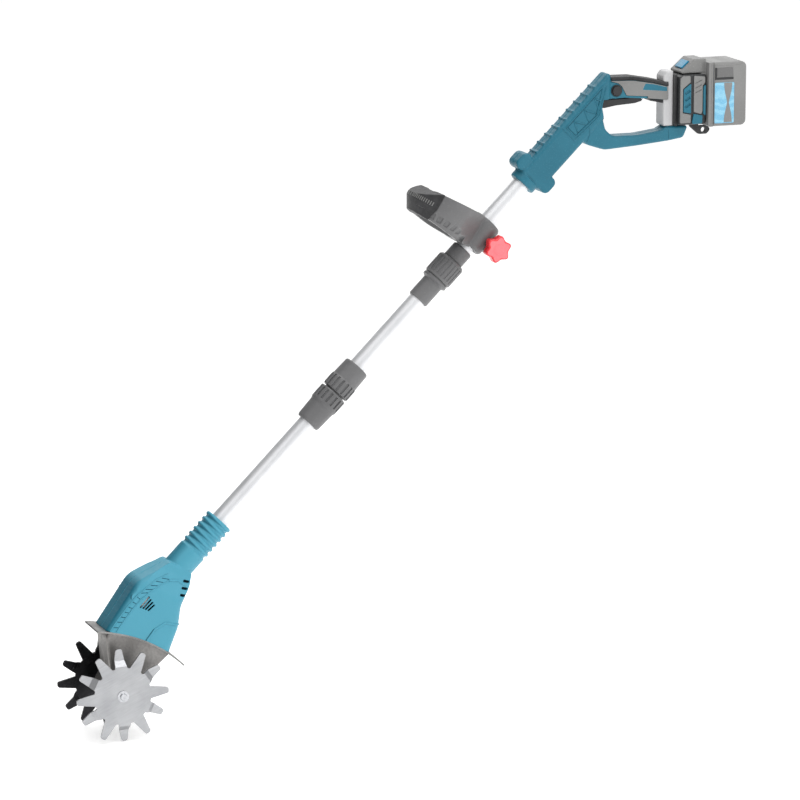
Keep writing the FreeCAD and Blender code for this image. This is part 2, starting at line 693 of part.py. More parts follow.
def build_upper_pole():
    keep("upper_tube", ring("upper_tube", POLE, cell_of("tube_radius"), cell_of("tube_bore"), str(LOCK_END),
                            span(LOCK_END, TUBE_TOP)))
    tube = size("tube_radius") + SEATED
    sleeve = size("sleeve_radius")
    collet = size("slider_radius") + RUNNING
    keep("lock_sleeve", turned("lock_sleeve", POLE, [
        (collet, -431), (15.6, -431), (16, LOCK_END), (16, -396.6), (sleeve, -395.6), (sleeve, -374.5),
        (sleeve - 1.2, -372.5), (tube, -372.5), (tube, LOCK_END), (collet, LOCK_END)]))
    outer = size("lock_nut_radius")
    nut = turned("lock_nut", POLE, [
        (16.4, -397.4), (outer - 2.5, -397.4), (outer, -400.5), (outer, -432), (outer - 2, -434.6),
        (13.4, -434.6), (13.4, -431.6), (16.4, -431.6)])
    flute = [(outer - 1.2, -1.3), (outer + 1, -2.0), (outer + 1, 2.0), (outer - 1.2, 1.3)]
    keep("lock_nut", polar_cuts(nut, "lock_nut_flutes", flute, "-402", "28", 20))


def build_middle_pole():
    slider = size("slider_radius")
    tube = size("tube_radius") + SEATED
    sleeve = size("sleeve_radius")
    keep("middle_sleeve", turned("middle_sleeve", POLE, [
        (slider, -435.2), (20.4, -435.2), (21.8, -437), (21.8, -440.5), (sleeve, -443.5), (sleeve, -477),
        (sleeve - 1.2, -479), (tube, -479), (tube, MIDDLE_TOP), (slider, MIDDLE_TOP)]))
    keep("slider_tube", ring("slider_tube", POLE, cell_of("slider_radius"), cell_of("slider_bore"),
                             str(SLIDER_FOOT), span(SLIDER_FOOT, SLIDER_TOP)))
    keep("middle_tube", ring("middle_tube", POLE, cell_of("tube_radius"), cell_of("tube_bore"),
                             str(MIDDLE_FOOT), span(MIDDLE_FOOT, MIDDLE_TOP)))
    keep("retaining_ring", turned("retaining_ring", POLE, [
        (tube, -632), (17, -632), (17, -627), (tube, -627)]))
    plug = rod("plug_disc", POLE, cell_of("tube_bore") + " - 0.1", "12", (0, 0, -712))
    pins = [rod("plug_pin_" + str(index), POLE, "1.2", "14",
                pin_place(index, -726)) for index in range(PINS)]
    keep("pole_plug", fuse("pole_plug", [plug, *pins]))


def build_coupling():
    nut = turned("coupling_nut", POLE, [
        (14.4, -619), (19.6, -619), (21.2, -621), (22.2, -648), (23.4, -652), (23.4, -669), (22.4, -671),
        (17.6, -671), (17.6, -624), (14.4, -624)])
    flute = [(21.2, -1.6), (25, -2.2), (25, 2.2), (21.2, 1.6)]
    keep("coupling_nut", polar_cuts(nut, "coupling_nut_flutes", flute, "-650", "20", 16))
    bore = size("tube_radius") + RUNNING
    tube = size("tube_radius") + SEATED
    socket = turned("coupling_socket", POLE, [
        (bore, -641), (17.2, -641), (17.2, -674), (22.6, -674), (23.4, -675.2), (23.4, -697), (21.4, -702),
        (20.2, -731), (18.8, -735), (tube, -735), (tube, LOWER_TOP), (12.6, LOWER_TOP), (12.6, -716),
        (bore, -716)])
    keep("coupling_socket", polar_cuts(socket, "coupling_socket_flutes", flute, "-677", "17", 16))


def build_lower_pole():
    keep("lower_tube", ring("lower_tube", POLE, cell_of("tube_radius"), cell_of("tube_bore"),
                            str(LOWER_FOOT), span(LOWER_FOOT, LOWER_TOP)))
    disc = rod("receptacle_disc", POLE, cell_of("tube_bore") + " - 0.1", "12", (0, 0, -734))
    holes = [rod("receptacle_hole_" + str(index), POLE, "1.8", "8",
                 pin_place(index, -729)) for index in range(PINS)]
    keep("pole_receptacle", cut("pole_receptacle", disc, holes))


# ---------------------------------------------------------------- loop handle

CLAMP_LOW = -364.0
CLAMP_HIGH = -314.0
EAR_AT = 30.0                    # the clamp bolt's distance from the pole's axis
LOOP_SIDE = [(14, -24), (-20, -27.5), (-62, -26, 60), (-92, -23), (-131, -20.5), (-131, 3), (-127, 3.5),
             (-100, 21.5, 14), (-62, 24.5), (-20, 27.5), (14, 24)]
GRIP_SIDE = [(-90, -24.2), (-132, -21.5), (-132, 4), (-127.5, 4.5), (-100, 22.6, 14), (-90, 23.4)]
CORE_SIDE = [(-90, -11), (-124, -12), (-124, -5), (-100, 8), (-90, 10)]
UNDERSIDE_AT = -70.0             # the middle of the cone that slopes the loop's outer underside
UNDERSIDE = [(44, -32), (60.5, -3), (84, -3), (84, -32)]
UNDERSIDE_LEAN = 29.6            # its outward normal falls this much below the loop's plane, degrees
POCKET_RADIUS = 53.7
POCKET_TURNS = (-122, -108, -94, -80, -66)
GRIP_FROM = 99.0                 # along the loop's reach, where its rubber starts
LOBES = 6
LOBE_HOLLOW = 0.83               # the knob's hollows, as a share of its radius


def loop_outline(grow):
    """The D of the loop handle in its own plane, made larger or smaller by grow."""
    half = size("loop_half") + grow
    reach = size("loop_reach") + grow
    return [(-8, -20 - grow, 8), (-8, 20 + grow, 8), (-58, half, 45), (-reach, half, half * 0.92),
            (-reach, -half, half * 0.92), (-58, -half, 45)]


def loop_gap(grow):
    """The space inside the D."""
    half = size("loop_half") - size("loop_band") - grow
    reach = size("loop_reach") - size("loop_band") - 6 - grow
    return [(-34, -9, 6), (-34, 9, 6), (-62, half, 12), (-reach, half, half * 0.9),
            (-reach, -half, half * 0.9), (-62, -half, 12)]


def loop_ring(name, grow, side):
    """The band of the loop: the D plate cut to the side view's taper."""
    flat = plate(name + "_plate", LOOP, loop_outline(grow), "-40", "80", holes=[loop_gap(grow)])
    taper = slab(name + "_taper", LOOP, side, "2 * " + cell_of("loop_half") + " + 20")
    return common(name, flat, taper)


def build_loop_handle():
    middle = (CLAMP_LOW + CLAMP_HIGH) / 2
    half = (CLAMP_HIGH - CLAMP_LOW) / 2
    band = loop_ring("loop_band", 0, LOOP_SIDE)
    beyond = block("grip_zone", LOOP, (-160, -90, -60), (-GRIP_FROM, 90, 60))
    slope = common("underside_slope", turned("underside_cone", moved(LOOP, UNDERSIDE_AT, 0, 0), UNDERSIDE),
                   block("underside_zone", LOOP, (-160, -90, -60), (-30, 90, 0)))
    arms = cut("loop_arms", band, [beyond, slope])
    core = common("loop_core", loop_ring("loop_core_ring", -4, CORE_SIDE),
                  block("core_zone", LOOP, (-160, -90, -60), (-GRIP_FROM + 6, 90, 60)))
    clamp = turned("clamp_barrel", POLE, [
        (size("liner_radius") + RUNNING, CLAMP_LOW), (22, CLAMP_LOW), (25, CLAMP_LOW + 4),
        (25, CLAMP_HIGH - 4), (22, CLAMP_HIGH), (size("liner_radius") + RUNNING, CLAMP_HIGH)])
    ears = slab("clamp_ears", POLE, [(16, middle - 15, 1), (40, middle - 13, 8), (40, middle + 13, 8),
                                     (16, middle + 15, 1)], "28", edge=1.5)
    solid = fuse("loop_solid", [arms, core, clamp, ears])
    tools = [rod("pole_room", POLE, wider("liner_radius", RUNNING), str(2 * half + 24),
                 (0, 0, CLAMP_LOW - 12)), block("clamp_split", POLE, (12, -1.4, CLAMP_LOW - 2),
                                                (46, 1.4, CLAMP_HIGH + 2)),
                                                rod("bolt_room", POLE, "3", "40", (EAR_AT, -20, middle),
                                                    ALONG_Y)]
    handle = cut("loop_drilled", solid, tools)
    pockets = []
    for side in (-1, 1):
        for index, turn in enumerate(POCKET_TURNS):
            angle = math.radians(-side * turn)
            facing = Rotation(Vector(0, 0, 1), -side * turn).multiply(Rotation(Vector(0, 1, 0),
                                                                               UNDERSIDE_LEAN))
            place = moved(LOOP, UNDERSIDE_AT + POCKET_RADIUS * math.cos(angle),
                          POCKET_RADIUS * math.sin(angle), -15, facing)
            pockets.append(block("arm_pocket_" + str(side + 1) + str(index), place, (-2.2, -3.8, -5.5),
                                 (4, 3.8, 5.5)))
    keep("loop_handle", cut("loop_handle", handle, pockets))
    rubber = common("rubber_blank", loop_ring("rubber_ring", 1.0, GRIP_SIDE), beyond)
    keep("loop_grip", cut("loop_grip", rubber, [core, slope]))
    liner = ring("liner_ring", POLE, cell_of("liner_radius"), wider("tube_radius", RUNNING), str(CLAMP_LOW),
                 span(CLAMP_LOW, CLAMP_HIGH))
    keep("clamp_liner", cut("clamp_liner", liner, [block("liner_split", POLE, (10, -1, CLAMP_LOW - 1),
                                                         (20, 1, CLAMP_HIGH + 1))]))
    bolt_axis = moved(POLE, EAR_AT, 0, middle, ALONG_Y)
    hexagon = [(5.2 * math.cos(math.radians(60 * side)),
                5.2 * math.sin(math.radians(60 * side))) for side in range(6)]
    bolt = [rod("clamp_bolt_shank", bolt_axis, "3", "48", (0, 0, -34)),
            plate("clamp_bolt_head", bolt_axis, hexagon, "14", "4.5")]
    keep("clamp_bolt", fuse("clamp_bolt", bolt))
    star = []
    for index in range(2 * LOBES):
        radius = size("knob_radius") * (LOBE_HOLLOW if index % 2 else 1)
        angle = math.pi / LOBES * index
        star.append((radius * math.cos(angle), radius * math.sin(angle), 12 if index % 2 else 6))
    lobes = plate("knob_lobes", bolt_axis, star, "-39", "16", edge=2.6)
    hub = turned("knob_hub", bolt_axis, [(0, -24), (9, -24), (9, -14.4), (0, -14.4)])
    bore = rod("knob_bore", bolt_axis, "3.05", "24", (0, 0, -34.5))
    keep("clamp_knob", cut("clamp_knob", fuse("knob_solid", [lobes, hub]), [bore]))


# ---------------------------------------------------------------- motor head

HEAD_SIDE = [(-21, 8, 6), (-57, -41, 40), (-66, -142), (50, -142), (43, -112, 20), (38, -76, 30),
             (26, -46, 30), (23, -8, 20), (18, 8, 6)]
HEAD_FRONT = [(-22, 12), (-23, -4, 20), (-37, -40, 40), (-37, -144), (37, -144), (37, -40, 40),
              (23, -4, 20), (22, 12)]
GUARD_TIPS = ((-76.0, -13.0), (76.0, -13.0))
GUARD_MIDDLE = (-822.1, -807.4)          # the guard's crown in the row frame
GUARD_SLOPE = 25.3                       # its chord falls this much to the rear, degrees
GUARD = moved(ROW, GUARD_MIDDLE[0], 0, GUARD_MIDDLE[1], Rotation(Vector(0, 1, 0), GUARD_SLOPE))
CASE_SIDE = [(-62, -96), (-58, -140, 12), (-25, -186, 30), (-24.5, -230.5, 24), (24.5, -230.5, 24),
             (24.5, -184, 30), (46, -122, 12), (52, -96)]
NECK_TOP = -938.0
ACROSS = "140"                   # wider than anything cut out of the head
HEAD_SCREWS = [(HEAD, -8.0, -20.0, 27.6), (HEAD, 30.0, -84.0, 35.6), (HEAD, -52.0, -64.0, 35.6)]
CASE_SCREWS = [(HEAD, -44.0, -142.0, 25.0), (HEAD, 33.0, -134.0, 25.0), (HEAD, 21.5, -164.0, 25.0)]
SHAFT_BEARINGS = (-136.0, -176.0)


def neck_profile():
    """The ringed neck, turned about the pole: six ribs and a plain length down to the bend."""
    profile = [(0, -1052), (22.5, -1052), (22.5, -1000)]
    for index in range(6):
        low = -998.0 + 10.0 * index
        profile += [(20.4, low), (20.4, low + 3.4), (23.2, low + 5), (23.2, low + 8.4)]
    profile += [(21.6, NECK_TOP), (0, NECK_TOP)]
    return profile


def head_block(name, shrink, edge):
    """The motor housing as the overlap of its side view and its front view."""
    side = slab(name + "_side", HEAD, inset(HEAD_SIDE, shrink) if shrink else HEAD_SIDE,
                cell_of("head_width") + " - " + str(2 * shrink), edge=edge)
    front_frame = moved(HEAD, 0, 0, 0, Rotation(Vector(0, 0, 1), 90))
    front = slab(name + "_front", front_frame, inset(HEAD_FRONT, shrink) if shrink else HEAD_FRONT, "180")
    return common(name, side, front)


def guard_arc(height):
    """An arc through the guard's tips and crown, moved up by height."""
    (left_x, left_z), (right_x, right_z) = GUARD_TIPS
    return Vector(left_x, left_z + height, 0), Vector(0, height, 0), Vector(right_x, right_z + height, 0)


def arched(name, lower, upper, width):
    """A slab between two arcs of the guard's curve, or between one and a level."""
    body = new_body(name, GUARD)
    sketch = new_sketch(body, name + "_outline", "XZ_Plane", [], "-(" + width + ") / 2")
    bottom = guard_arc(lower) if lower is not None else None
    top = guard_arc(upper) if upper is not None else None
    base = -90.0
    left_foot = bottom[0] if bottom else Vector(top[0].x, base, 0)
    right_foot = bottom[2] if bottom else Vector(top[2].x, base, 0)
    left_head = top[0] if top else Vector(bottom[0].x, -base, 0)
    right_head = top[2] if top else Vector(bottom[2].x, -base, 0)
    sketch.addGeometry(Part.Arc(*bottom) if bottom else Part.LineSegment(left_foot, right_foot), False)
    sketch.addGeometry(Part.LineSegment(right_foot, right_head), False)
    sketch.addGeometry(Part.Arc(*reversed(top)) if top else Part.LineSegment(right_head, left_head), False)
    sketch.addGeometry(Part.LineSegment(left_head, left_foot), False)
    pad = body.newObject("PartDesign::Pad", name + "_pad")
    pad.Profile = sketch
    pad.setExpression("Length", width)
    doc.recompute()
    return body


def vent_slots():
    """Slots through both sides of the motor housing: a fan on the flank and three at the rear."""
    slots = []
    for index in range(4):
        turn = Rotation(Vector(0, 1, 0), -77.5 + 3 * index)
        place = moved(HEAD, -33.5 + 4.5 * index, 0, -63.5 - 1.2 * index, turn)
        reach = 11.3 - 1.4 * index
        slots.append(block("fan_slot_" + str(index), place, (-reach, -50, -1.2), (reach, 50, 1.2)))
    for index in range(3):
        place = moved(HEAD, 15.5 + 1.6 * index, 0, -8 - 10.5 * index, Rotation(Vector(0, 1, 0), -14))
        slots.append(block("rear_slot_" + str(index), place, (-5, -50, -1.8), (5, 50, 1.8)))
    return slots


def build_head_housing():
    outer = fuse("head_solid", [head_block("head_outer", 0, 13), turned("neck", POLE, neck_profile())])
    inner = head_block("head_inner", size("wall"), 10.5)
    floor_of_room = arched("room_floor", None, 2.5, ACROSS)
    room = cut("head_room", inner, [floor_of_room])
    tools = [room, arched("below_guard", None, 0.0, ACROSS),
             rod("tube_room", POLE, wider("tube_radius", SEATED), "60", (0, 0, LOWER_FOOT)),
             rod("wire_room", POLE, "11", "70", (0, 0, LOWER_FOOT - 68)),
             rod("shaft_room", HEAD, "12", "60", (0, 0, -150)), *vent_slots()]
    shell = cut("head_shell", outer, tools)
    head_y = 18.0
    length = 30.0
    posts, holes = screw_bosses("head_screw", HEAD_SCREWS, head_y, length)
    filled = cut("head_shell_drilled", fuse("head_shell_posts", [shell, *posts]), holes)
    part_shells("head_housing", filled)
    return [screw("head_screw_" + str(index) + "_body", frame, x, z, head_y, length)
            for index, (frame, x, z, _) in enumerate(HEAD_SCREWS)]


def build_gear_case(screws):
    """The two castings under the guard, with the bearings, the seals and the head's screws."""
    solid = slab("case_solid_block", HEAD, CASE_SIDE, cell_of("case_width"), edge=4)
    above = arched("above_guard", -size("guard_thick"), None, ACROSS)
    axle = -size("axle_drop")
    tools = [above,
             rod("wheel_room", HEAD, "21.4", "37", (0, -18.5, axle), ALONG_Y),
             rod("axle_bearing_seats", HEAD, "12", "64", (0, -32, axle), ALONG_Y),
             rod("shaft_bore", HEAD, "11", "110", (0, 0, axle + 12))]
    case = cut("case_blank", solid, tools)
    head_y = 22.0
    length = 36.0
    holes = screw_bosses("case_screw", CASE_SCREWS, head_y, length)[1]
    drilled = cut("case_drilled", case, holes)
    part_shells("gear_case", drilled)
    screws += [screw("case_screw_" + str(index) + "_body", frame, x, z, head_y, length)
               for index, (frame, x, z, _) in enumerate(CASE_SCREWS)]
    keep("head_screws", group("head_screws", screws))
    arch = arched("guard_arch", -size("guard_thick"), 0.0, cell_of("guard_width"))
    keep("guard_plate", cut("guard_plate", arch, [rod("guard_hole", HEAD, "12", "60", (0, 0, -150))]))
    bearings = [ring("shaft_bearing_" + str(index), HEAD, "11", wider("shaft_radius", RUNNING), str(low),
                     "7")
                for index, low in enumerate(SHAFT_BEARINGS)]
    axle_frame = moved(HEAD, 0, 0, axle, ALONG_Y)
    seats = [ring("axle_bearing_" + str(index), axle_frame, "12", wider("axle_radius", RUNNING), str(low),
                  "6")
             for index, low in enumerate((-25.0, 19.0))]
    keep("bearings", group("bearings", bearings + seats))
    seals = [ring("axle_seal_" + str(index), axle_frame, "12", wider("axle_radius", LOOSE), str(low), "1.8")
             for index, low in enumerate((-26.9, 25.1))]
    keep("axle_seals", group("axle_seals", seals))


# ---------------------------------------------------------------- drive

MOTOR_TEETH = 8
SPUR_TEETH = 40
PINION_TEETH = 10
CROWN_TEETH = 24
TINES = 12
TINE_ROOT = 38.0                 # from the axle, where a tine leaves the disc's web
HUB_FOOT = 27.6                  # the inner face of a disc's hub, from the middle of the axle


def bored_gear(name, frame, outline, start, length, bore):
    """A toothed plate with a bore bound to the sheet."""
    body = new_body(name, frame)
    sketch = new_sketch(body, name + "_outline", "XY_Plane", [outline], start)
    add_circles(sketch, [(0, 0, bore)])
    pad = body.newObject("PartDesign::Pad", name + "_pad")
    pad.Profile = sketch
    pad.setExpression("Length", length)
    doc.recompute()
    return body


def build_motor():
    motor = moved(HEAD, -size("motor_offset"), 0, 0)
    radius = size("motor_radius")
    keep("motor_can", turned("motor_can", motor, [
        (2.05, -30), (radius, -30), (radius, -94), (2.05, -94), (2.05, -91), (radius - 1.6, -91),
        (radius - 1.6, -33), (2.05, -33)]))
    armature = turned("motor_armature", motor, [
        (0, -24), (2, -24), (2, -40), (16.6, -40), (16.6, -84), (2, -84), (2, -110), (0, -110)])
    outline = circle_outline(MOTOR_TEETH, 2.9, 5.0, 0.62, 0.2, phase=22.5)
    pinion = plate("motor_pinion", motor, outline, "-109", "9")
    keep("motor_rotor", fuse("motor_rotor", [armature, pinion]))


def build_drive_shaft():
    shaft = rod("drive_shaft_bar", HEAD, cell_of("shaft_radius"), "94", (0, 0, -192))
    spur = circle_outline(SPUR_TEETH, 18.7, 21.0, 0.56, 0.2)
    keep("spur_gear", bored_gear("spur_gear", HEAD, spur, "-108", "7", cell_of("shaft_radius")))
    pinion = plate("crown_pinion", HEAD, circle_outline(PINION_TEETH, 5.5, 8.1, 0.58, 0.2, phase=18),
                   "-191.6", "4.6")
    keep("drive_shaft", fuse("drive_shaft", [shaft, pinion]))


def build_tine_axle():
    axle_frame = moved(HEAD, 0, 0, -size("axle_drop"), ALONG_Y)
    radius = size("axle_radius")
    face = size("disc_face")
    keep("tine_axle", turned("tine_axle", axle_frame, [
        (3, -face), (radius, -face), (radius, face), (3, face), (3, 43), (0, 43), (0, -43), (3, -43)]))
    wheel = turned("crown_wheel", axle_frame, [
        (radius, 8.8), (14.2, 8.8), (14.2, 6), (19.2, 6), (19.2, 8.8), (20.2, 8.8), (20.2, 13), (12, 13),
        (12, 18), (radius, 18)])
    gap = [(-1.75, 5.5), (1.75, 5.5), (0.95, 8.8), (-0.95, 8.8)]
    before = wheel.Shape.Volume
    sketch = new_sketch(wheel, "crown_gap_outline", "YZ_Plane", [gap], "20")
    pocket = wheel.newObject("PartDesign::Pocket", "crown_gap")
    pocket.Profile = sketch
    pocket.Length = 6.5
    doc.recompute()
    pattern = wheel.newObject("PartDesign::PolarPattern", "crown_gaps")
    pattern.Originals = [pocket]
    pattern.Axis = (next(item for item in wheel.Origin.OriginFeatures if item.Role == "Z_Axis"), [""])
    pattern.Angle = 360
    pattern.Occurrences = CROWN_TEETH
    wheel.Tip = pattern
    doc.recompute()
    if wheel.Shape.Volume >= before - 1:
        raise RuntimeError("the crown wheel has no gaps")
    keep("crown_wheel", wheel)
    hubs = [ring("disc_hub_" + str(index), axle_frame, "11", cell_of("axle_radius"), str(low),
                 span(HUB_FOOT, face))
            for index, low in enumerate((-face, HUB_FOOT))]
    keep("disc_hubs", group("disc_hubs", hubs))
    bolts = [turned("disc_bolt_" + str(index), moved(axle_frame, 0, 0, 0, turn), [
        (0, 44), (3, 44), (3, face + 3), (9, face + 3), (9, face + 4.2), (5.6, face + 4.4), (4.6, face + 7),
        (0, face + 7)]) for index, turn in enumerate((Rotation(), Rotation(Vector(1, 0, 0), 180)))]
    keep("disc_bolts", group("disc_bolts", bolts))
    keep("tine_disc_right", tine_disc("tine_disc_right", axle_frame, 1))
    keep("tine_disc_left", tine_disc("tine_disc_left", axle_frame, -1))


def tine_disc(name, axle_frame, side):
    """A flat disc with twelve tines, every second one joggled toward the gear case."""
    thick = size("disc_thick")
    face = size("disc_face")
    tip = size("tine_radius")
    joggle = size("tine_joggle")
    low = face if side > 0 else -face - thick
    tine = [(TINE_ROOT, -10.6), (tip, -4.4, 3.6), (tip, 4.4, 3.6), (TINE_ROOT, 10.6)]
    pieces = [bored_gear(name + "_web", axle_frame, rounded_disc(size("disc_radius")), str(low),
                         cell_of("disc_thick"), "3")]
    step = -side * joggle
    inner = face * side
    outer = inner + side * thick
    bend = [(TINE_ROOT, inner), (47, inner), (55, inner + step), (tip + 2, inner + step),
            (tip + 2, outer + step), (55, outer + step), (47, outer), (TINE_ROOT, outer)]
    for index in range(TINES):
        turn = moved(axle_frame, 0, 0, 0, Rotation(Vector(0, 0, 1), 360 / TINES * index - 3))
        tag = name + "_tine_" + str(index)
        if index % 2:
            pieces.append(plate(tag, turn, tine, str(low), cell_of("disc_thick")))
        else:
            wedge = plate(tag + "_wedge", turn, tine, "-80", "160")
            strip = slab(tag + "_strip", turn, bend, "30")
            pieces.append(common(tag, wedge, strip))
    return fuse(name, pieces)


def rounded_disc(radius):
    """A round outline as a square with corners rounded to its half width."""
    return [(-radius, -radius, radius * 0.9999), (radius, -radius, radius * 0.9999),
            (radius, radius, radius * 0.9999), (-radius, radius, radius * 0.9999)]


# ---------------------------------------------------------------- build, check and write

build_rear_housing()
build_grip_trim()
build_controls()
build_battery_mount()
build_battery()
build_upper_pole()
build_middle_pole()
build_coupling()
build_lower_pole()
build_loop_handle()
build_gear_case(build_head_housing())
build_motor()
build_drive_shaft()
build_tine_axle()
doc.recompute()

problems = [item.Name for item in doc.Objects if "Invalid" in item.State or "Error" in item.State]
for label, piece in nodes.items():
    if piece.Shape.isNull() or not piece.Shape.isValid() or not piece.Shape.Solids:
        problems.append(label)
if problems:
    raise RuntimeError("failed: " + ", ".join(problems))

os.makedirs("parts", exist_ok=True)
for label, piece in nodes.items():
    piece.Shape.exportStep(os.path.join("parts", label + ".step"))
    print(label, len(piece.Shape.Solids), round(piece.Shape.Volume))
print(len(nodes), "nodes")
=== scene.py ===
import bpy
import bmesh
import json
import math
from mathutils import Matrix, Vector
from mathutils.bvhtree import BVHTree


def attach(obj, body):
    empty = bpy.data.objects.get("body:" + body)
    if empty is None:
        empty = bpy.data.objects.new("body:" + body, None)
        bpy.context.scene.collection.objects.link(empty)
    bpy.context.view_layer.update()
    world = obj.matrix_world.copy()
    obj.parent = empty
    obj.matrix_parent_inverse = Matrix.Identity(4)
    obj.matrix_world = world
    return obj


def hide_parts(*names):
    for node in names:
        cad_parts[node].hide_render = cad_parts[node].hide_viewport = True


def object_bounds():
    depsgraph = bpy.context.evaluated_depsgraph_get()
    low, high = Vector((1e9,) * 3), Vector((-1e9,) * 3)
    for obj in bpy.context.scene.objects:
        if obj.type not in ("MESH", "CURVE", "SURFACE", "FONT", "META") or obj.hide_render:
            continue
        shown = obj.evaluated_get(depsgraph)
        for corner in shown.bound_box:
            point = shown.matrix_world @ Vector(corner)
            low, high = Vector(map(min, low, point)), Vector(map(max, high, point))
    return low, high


# Looks of the battery mini cultivator. Everything is in metres, in the CAD's frame.

MM = 0.001
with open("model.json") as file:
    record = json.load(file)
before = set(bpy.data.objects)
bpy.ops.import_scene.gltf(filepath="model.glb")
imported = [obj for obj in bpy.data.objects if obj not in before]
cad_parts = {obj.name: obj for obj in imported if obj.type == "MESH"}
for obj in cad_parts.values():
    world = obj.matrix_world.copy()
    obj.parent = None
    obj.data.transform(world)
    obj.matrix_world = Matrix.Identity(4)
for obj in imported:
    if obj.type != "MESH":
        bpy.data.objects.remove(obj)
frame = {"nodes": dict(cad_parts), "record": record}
nodes = frame["nodes"]
cad_low, cad_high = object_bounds()


# ---------------------------------------------------------------- camera, floor and light

VIEW_AZIMUTH = math.radians(-20.0)
VIEW_ELEVATION = math.radians(12.0)
LENS = 200.0
SENSOR = 36.0
VIEW_WIDTH = 1.244               # at the distance of the point aimed at
AIM = Vector((-0.3937, 0.0, -0.469))
FAR_CLIP = 60.0
FLOOR_GAP = 0.001
FLOOR_REACH = 30.0
FLOOR_GLOW = 0.42                # keeps the pale floor even out to its far end
WORLD_STRENGTH = 0.72
DARK_CARD = 0.03                 # what the unlit wall behind and to the left gives back
CARD_TOWARD = (-0.9, 0.42, 0.12)
CARD_BEGINS = 0.5                # cosines of the angle to that wall where it begins and where it is darkest
CARD_DARKEST = 0.8
LAMPS = (                        # name, place, point aimed at, width and power
    ("overhead", (-0.3, -0.5, 2.6), (-0.4, 0.0, -0.4), 3.0, 66.0),
    ("left_window", (-2.9, -1.7, 0.9), (-0.4, 0.0, -0.5), 1.8, 6.0),
    ("right_front", (1.6, -3.0, 0.6), (-0.3, 0.0, -0.4), 1.6, 18.0),
    ("behind", (0.4, 3.0, 1.6), (-0.4, 0.0, -0.4), 2.4, 22.0),
)


def make_camera():
    """A long lens from the near side, a little ahead of square and from above."""
    camera = bpy.data.objects.new("camera", bpy.data.cameras.new("camera"))
    camera.data.lens = LENS
    camera.data.sensor_width = SENSOR
    camera.data.clip_end = FAR_CLIP
    level = math.cos(VIEW_ELEVATION)
    ahead = math.sin(VIEW_AZIMUTH) * level
    back = Vector((ahead, -math.cos(VIEW_AZIMUTH) * level, math.sin(VIEW_ELEVATION)))
    camera.location = AIM + back * (VIEW_WIDTH * LENS / SENSOR)
    camera.rotation_mode = "QUATERNION"
    camera.rotation_quaternion = (-back).to_track_quat("-Z", "Y")
    bpy.context.scene.collection.objects.link(camera)
    bpy.context.scene.camera = camera


def area_light(name, place, aim, width, power):
    """A square soft light."""
    lamp = bpy.data.lights.new(name, "AREA")
    lamp.shape = "RECTANGLE"
    lamp.size = width
    lamp.size_y = width
    lamp.energy = power
    thing = bpy.data.objects.new(name, lamp)
    thing.location = place
    thing.rotation_mode = "QUATERNION"
    thing.rotation_quaternion = (Vector(aim) - Vector(place)).to_track_quat("-Z", "Y")
    bpy.context.scene.collection.objects.link(thing)


def make_light():
    """A white studio with one dark wall, and the lamps."""
    world = bpy.data.worlds.new("studio")
    world.use_nodes = True
    tree = world.node_tree
    direction = tree.nodes.new("ShaderNodeTexCoord").outputs["Generated"]
    toward = tree.nodes.new("ShaderNodeVectorMath")
    toward.operation = "DOT_PRODUCT"
    toward.inputs[1].default_value = Vector(CARD_TOWARD).normalized()
    tree.links.new(direction, toward.inputs[0])
    card = tree.nodes.new("ShaderNodeMapRange")
    limits = {"From Min": CARD_BEGINS, "From Max": CARD_DARKEST, "To Min": WORLD_STRENGTH,
              "To Max": DARK_CARD}
    for socket, number in limits.items():
        card.inputs[socket].default_value = number
    tree.links.new(toward.outputs["Value"], card.inputs["Value"])
    tree.nodes["Background"].inputs["Color"].default_value = (1.0, 1.0, 1.0, 1.0)
    tree.links.new(card.outputs["Result"], tree.nodes["Background"].inputs["Strength"])
    bpy.context.scene.world = world
    bpy.context.scene.view_settings.view_transform = "Standard"
    for name, place, aim, width, power in LAMPS:
        area_light(name, place, aim, width, power)


# ---------------------------------------------------------------- materials

GRAIN = 900.0                    # spark-eroded cells in a metre of moulded plastic
MOULDED_EDGE = 0.0006            # the radii of the softened edges
RUBBER_EDGE = 0.0007
METAL_EDGE = 0.0004
FILM_EDGE = 0.0003
PAINTED_LIGHT_FROM = -0.2                 # along X, where the painted light on the teal begins, and where it is strongest
PAINTED_LIGHT_TO = -0.62
PAINTED_SHADE_FACING = -0.8              # faces that look this far toward -X get no painted light and keep the darker teal as painted shade
PAINTED_LIGHT_FACING = -0.45


def linear(colour):
    """An sRGB colour of 0 to 255 as linear light."""
    result = []
    for value in colour:
        share = value / 255.0
        result.append(share / 12.92 if share <= 0.04045 else ((share + 0.055) / 1.055) ** 2.4)
    return (*result, 1.0)


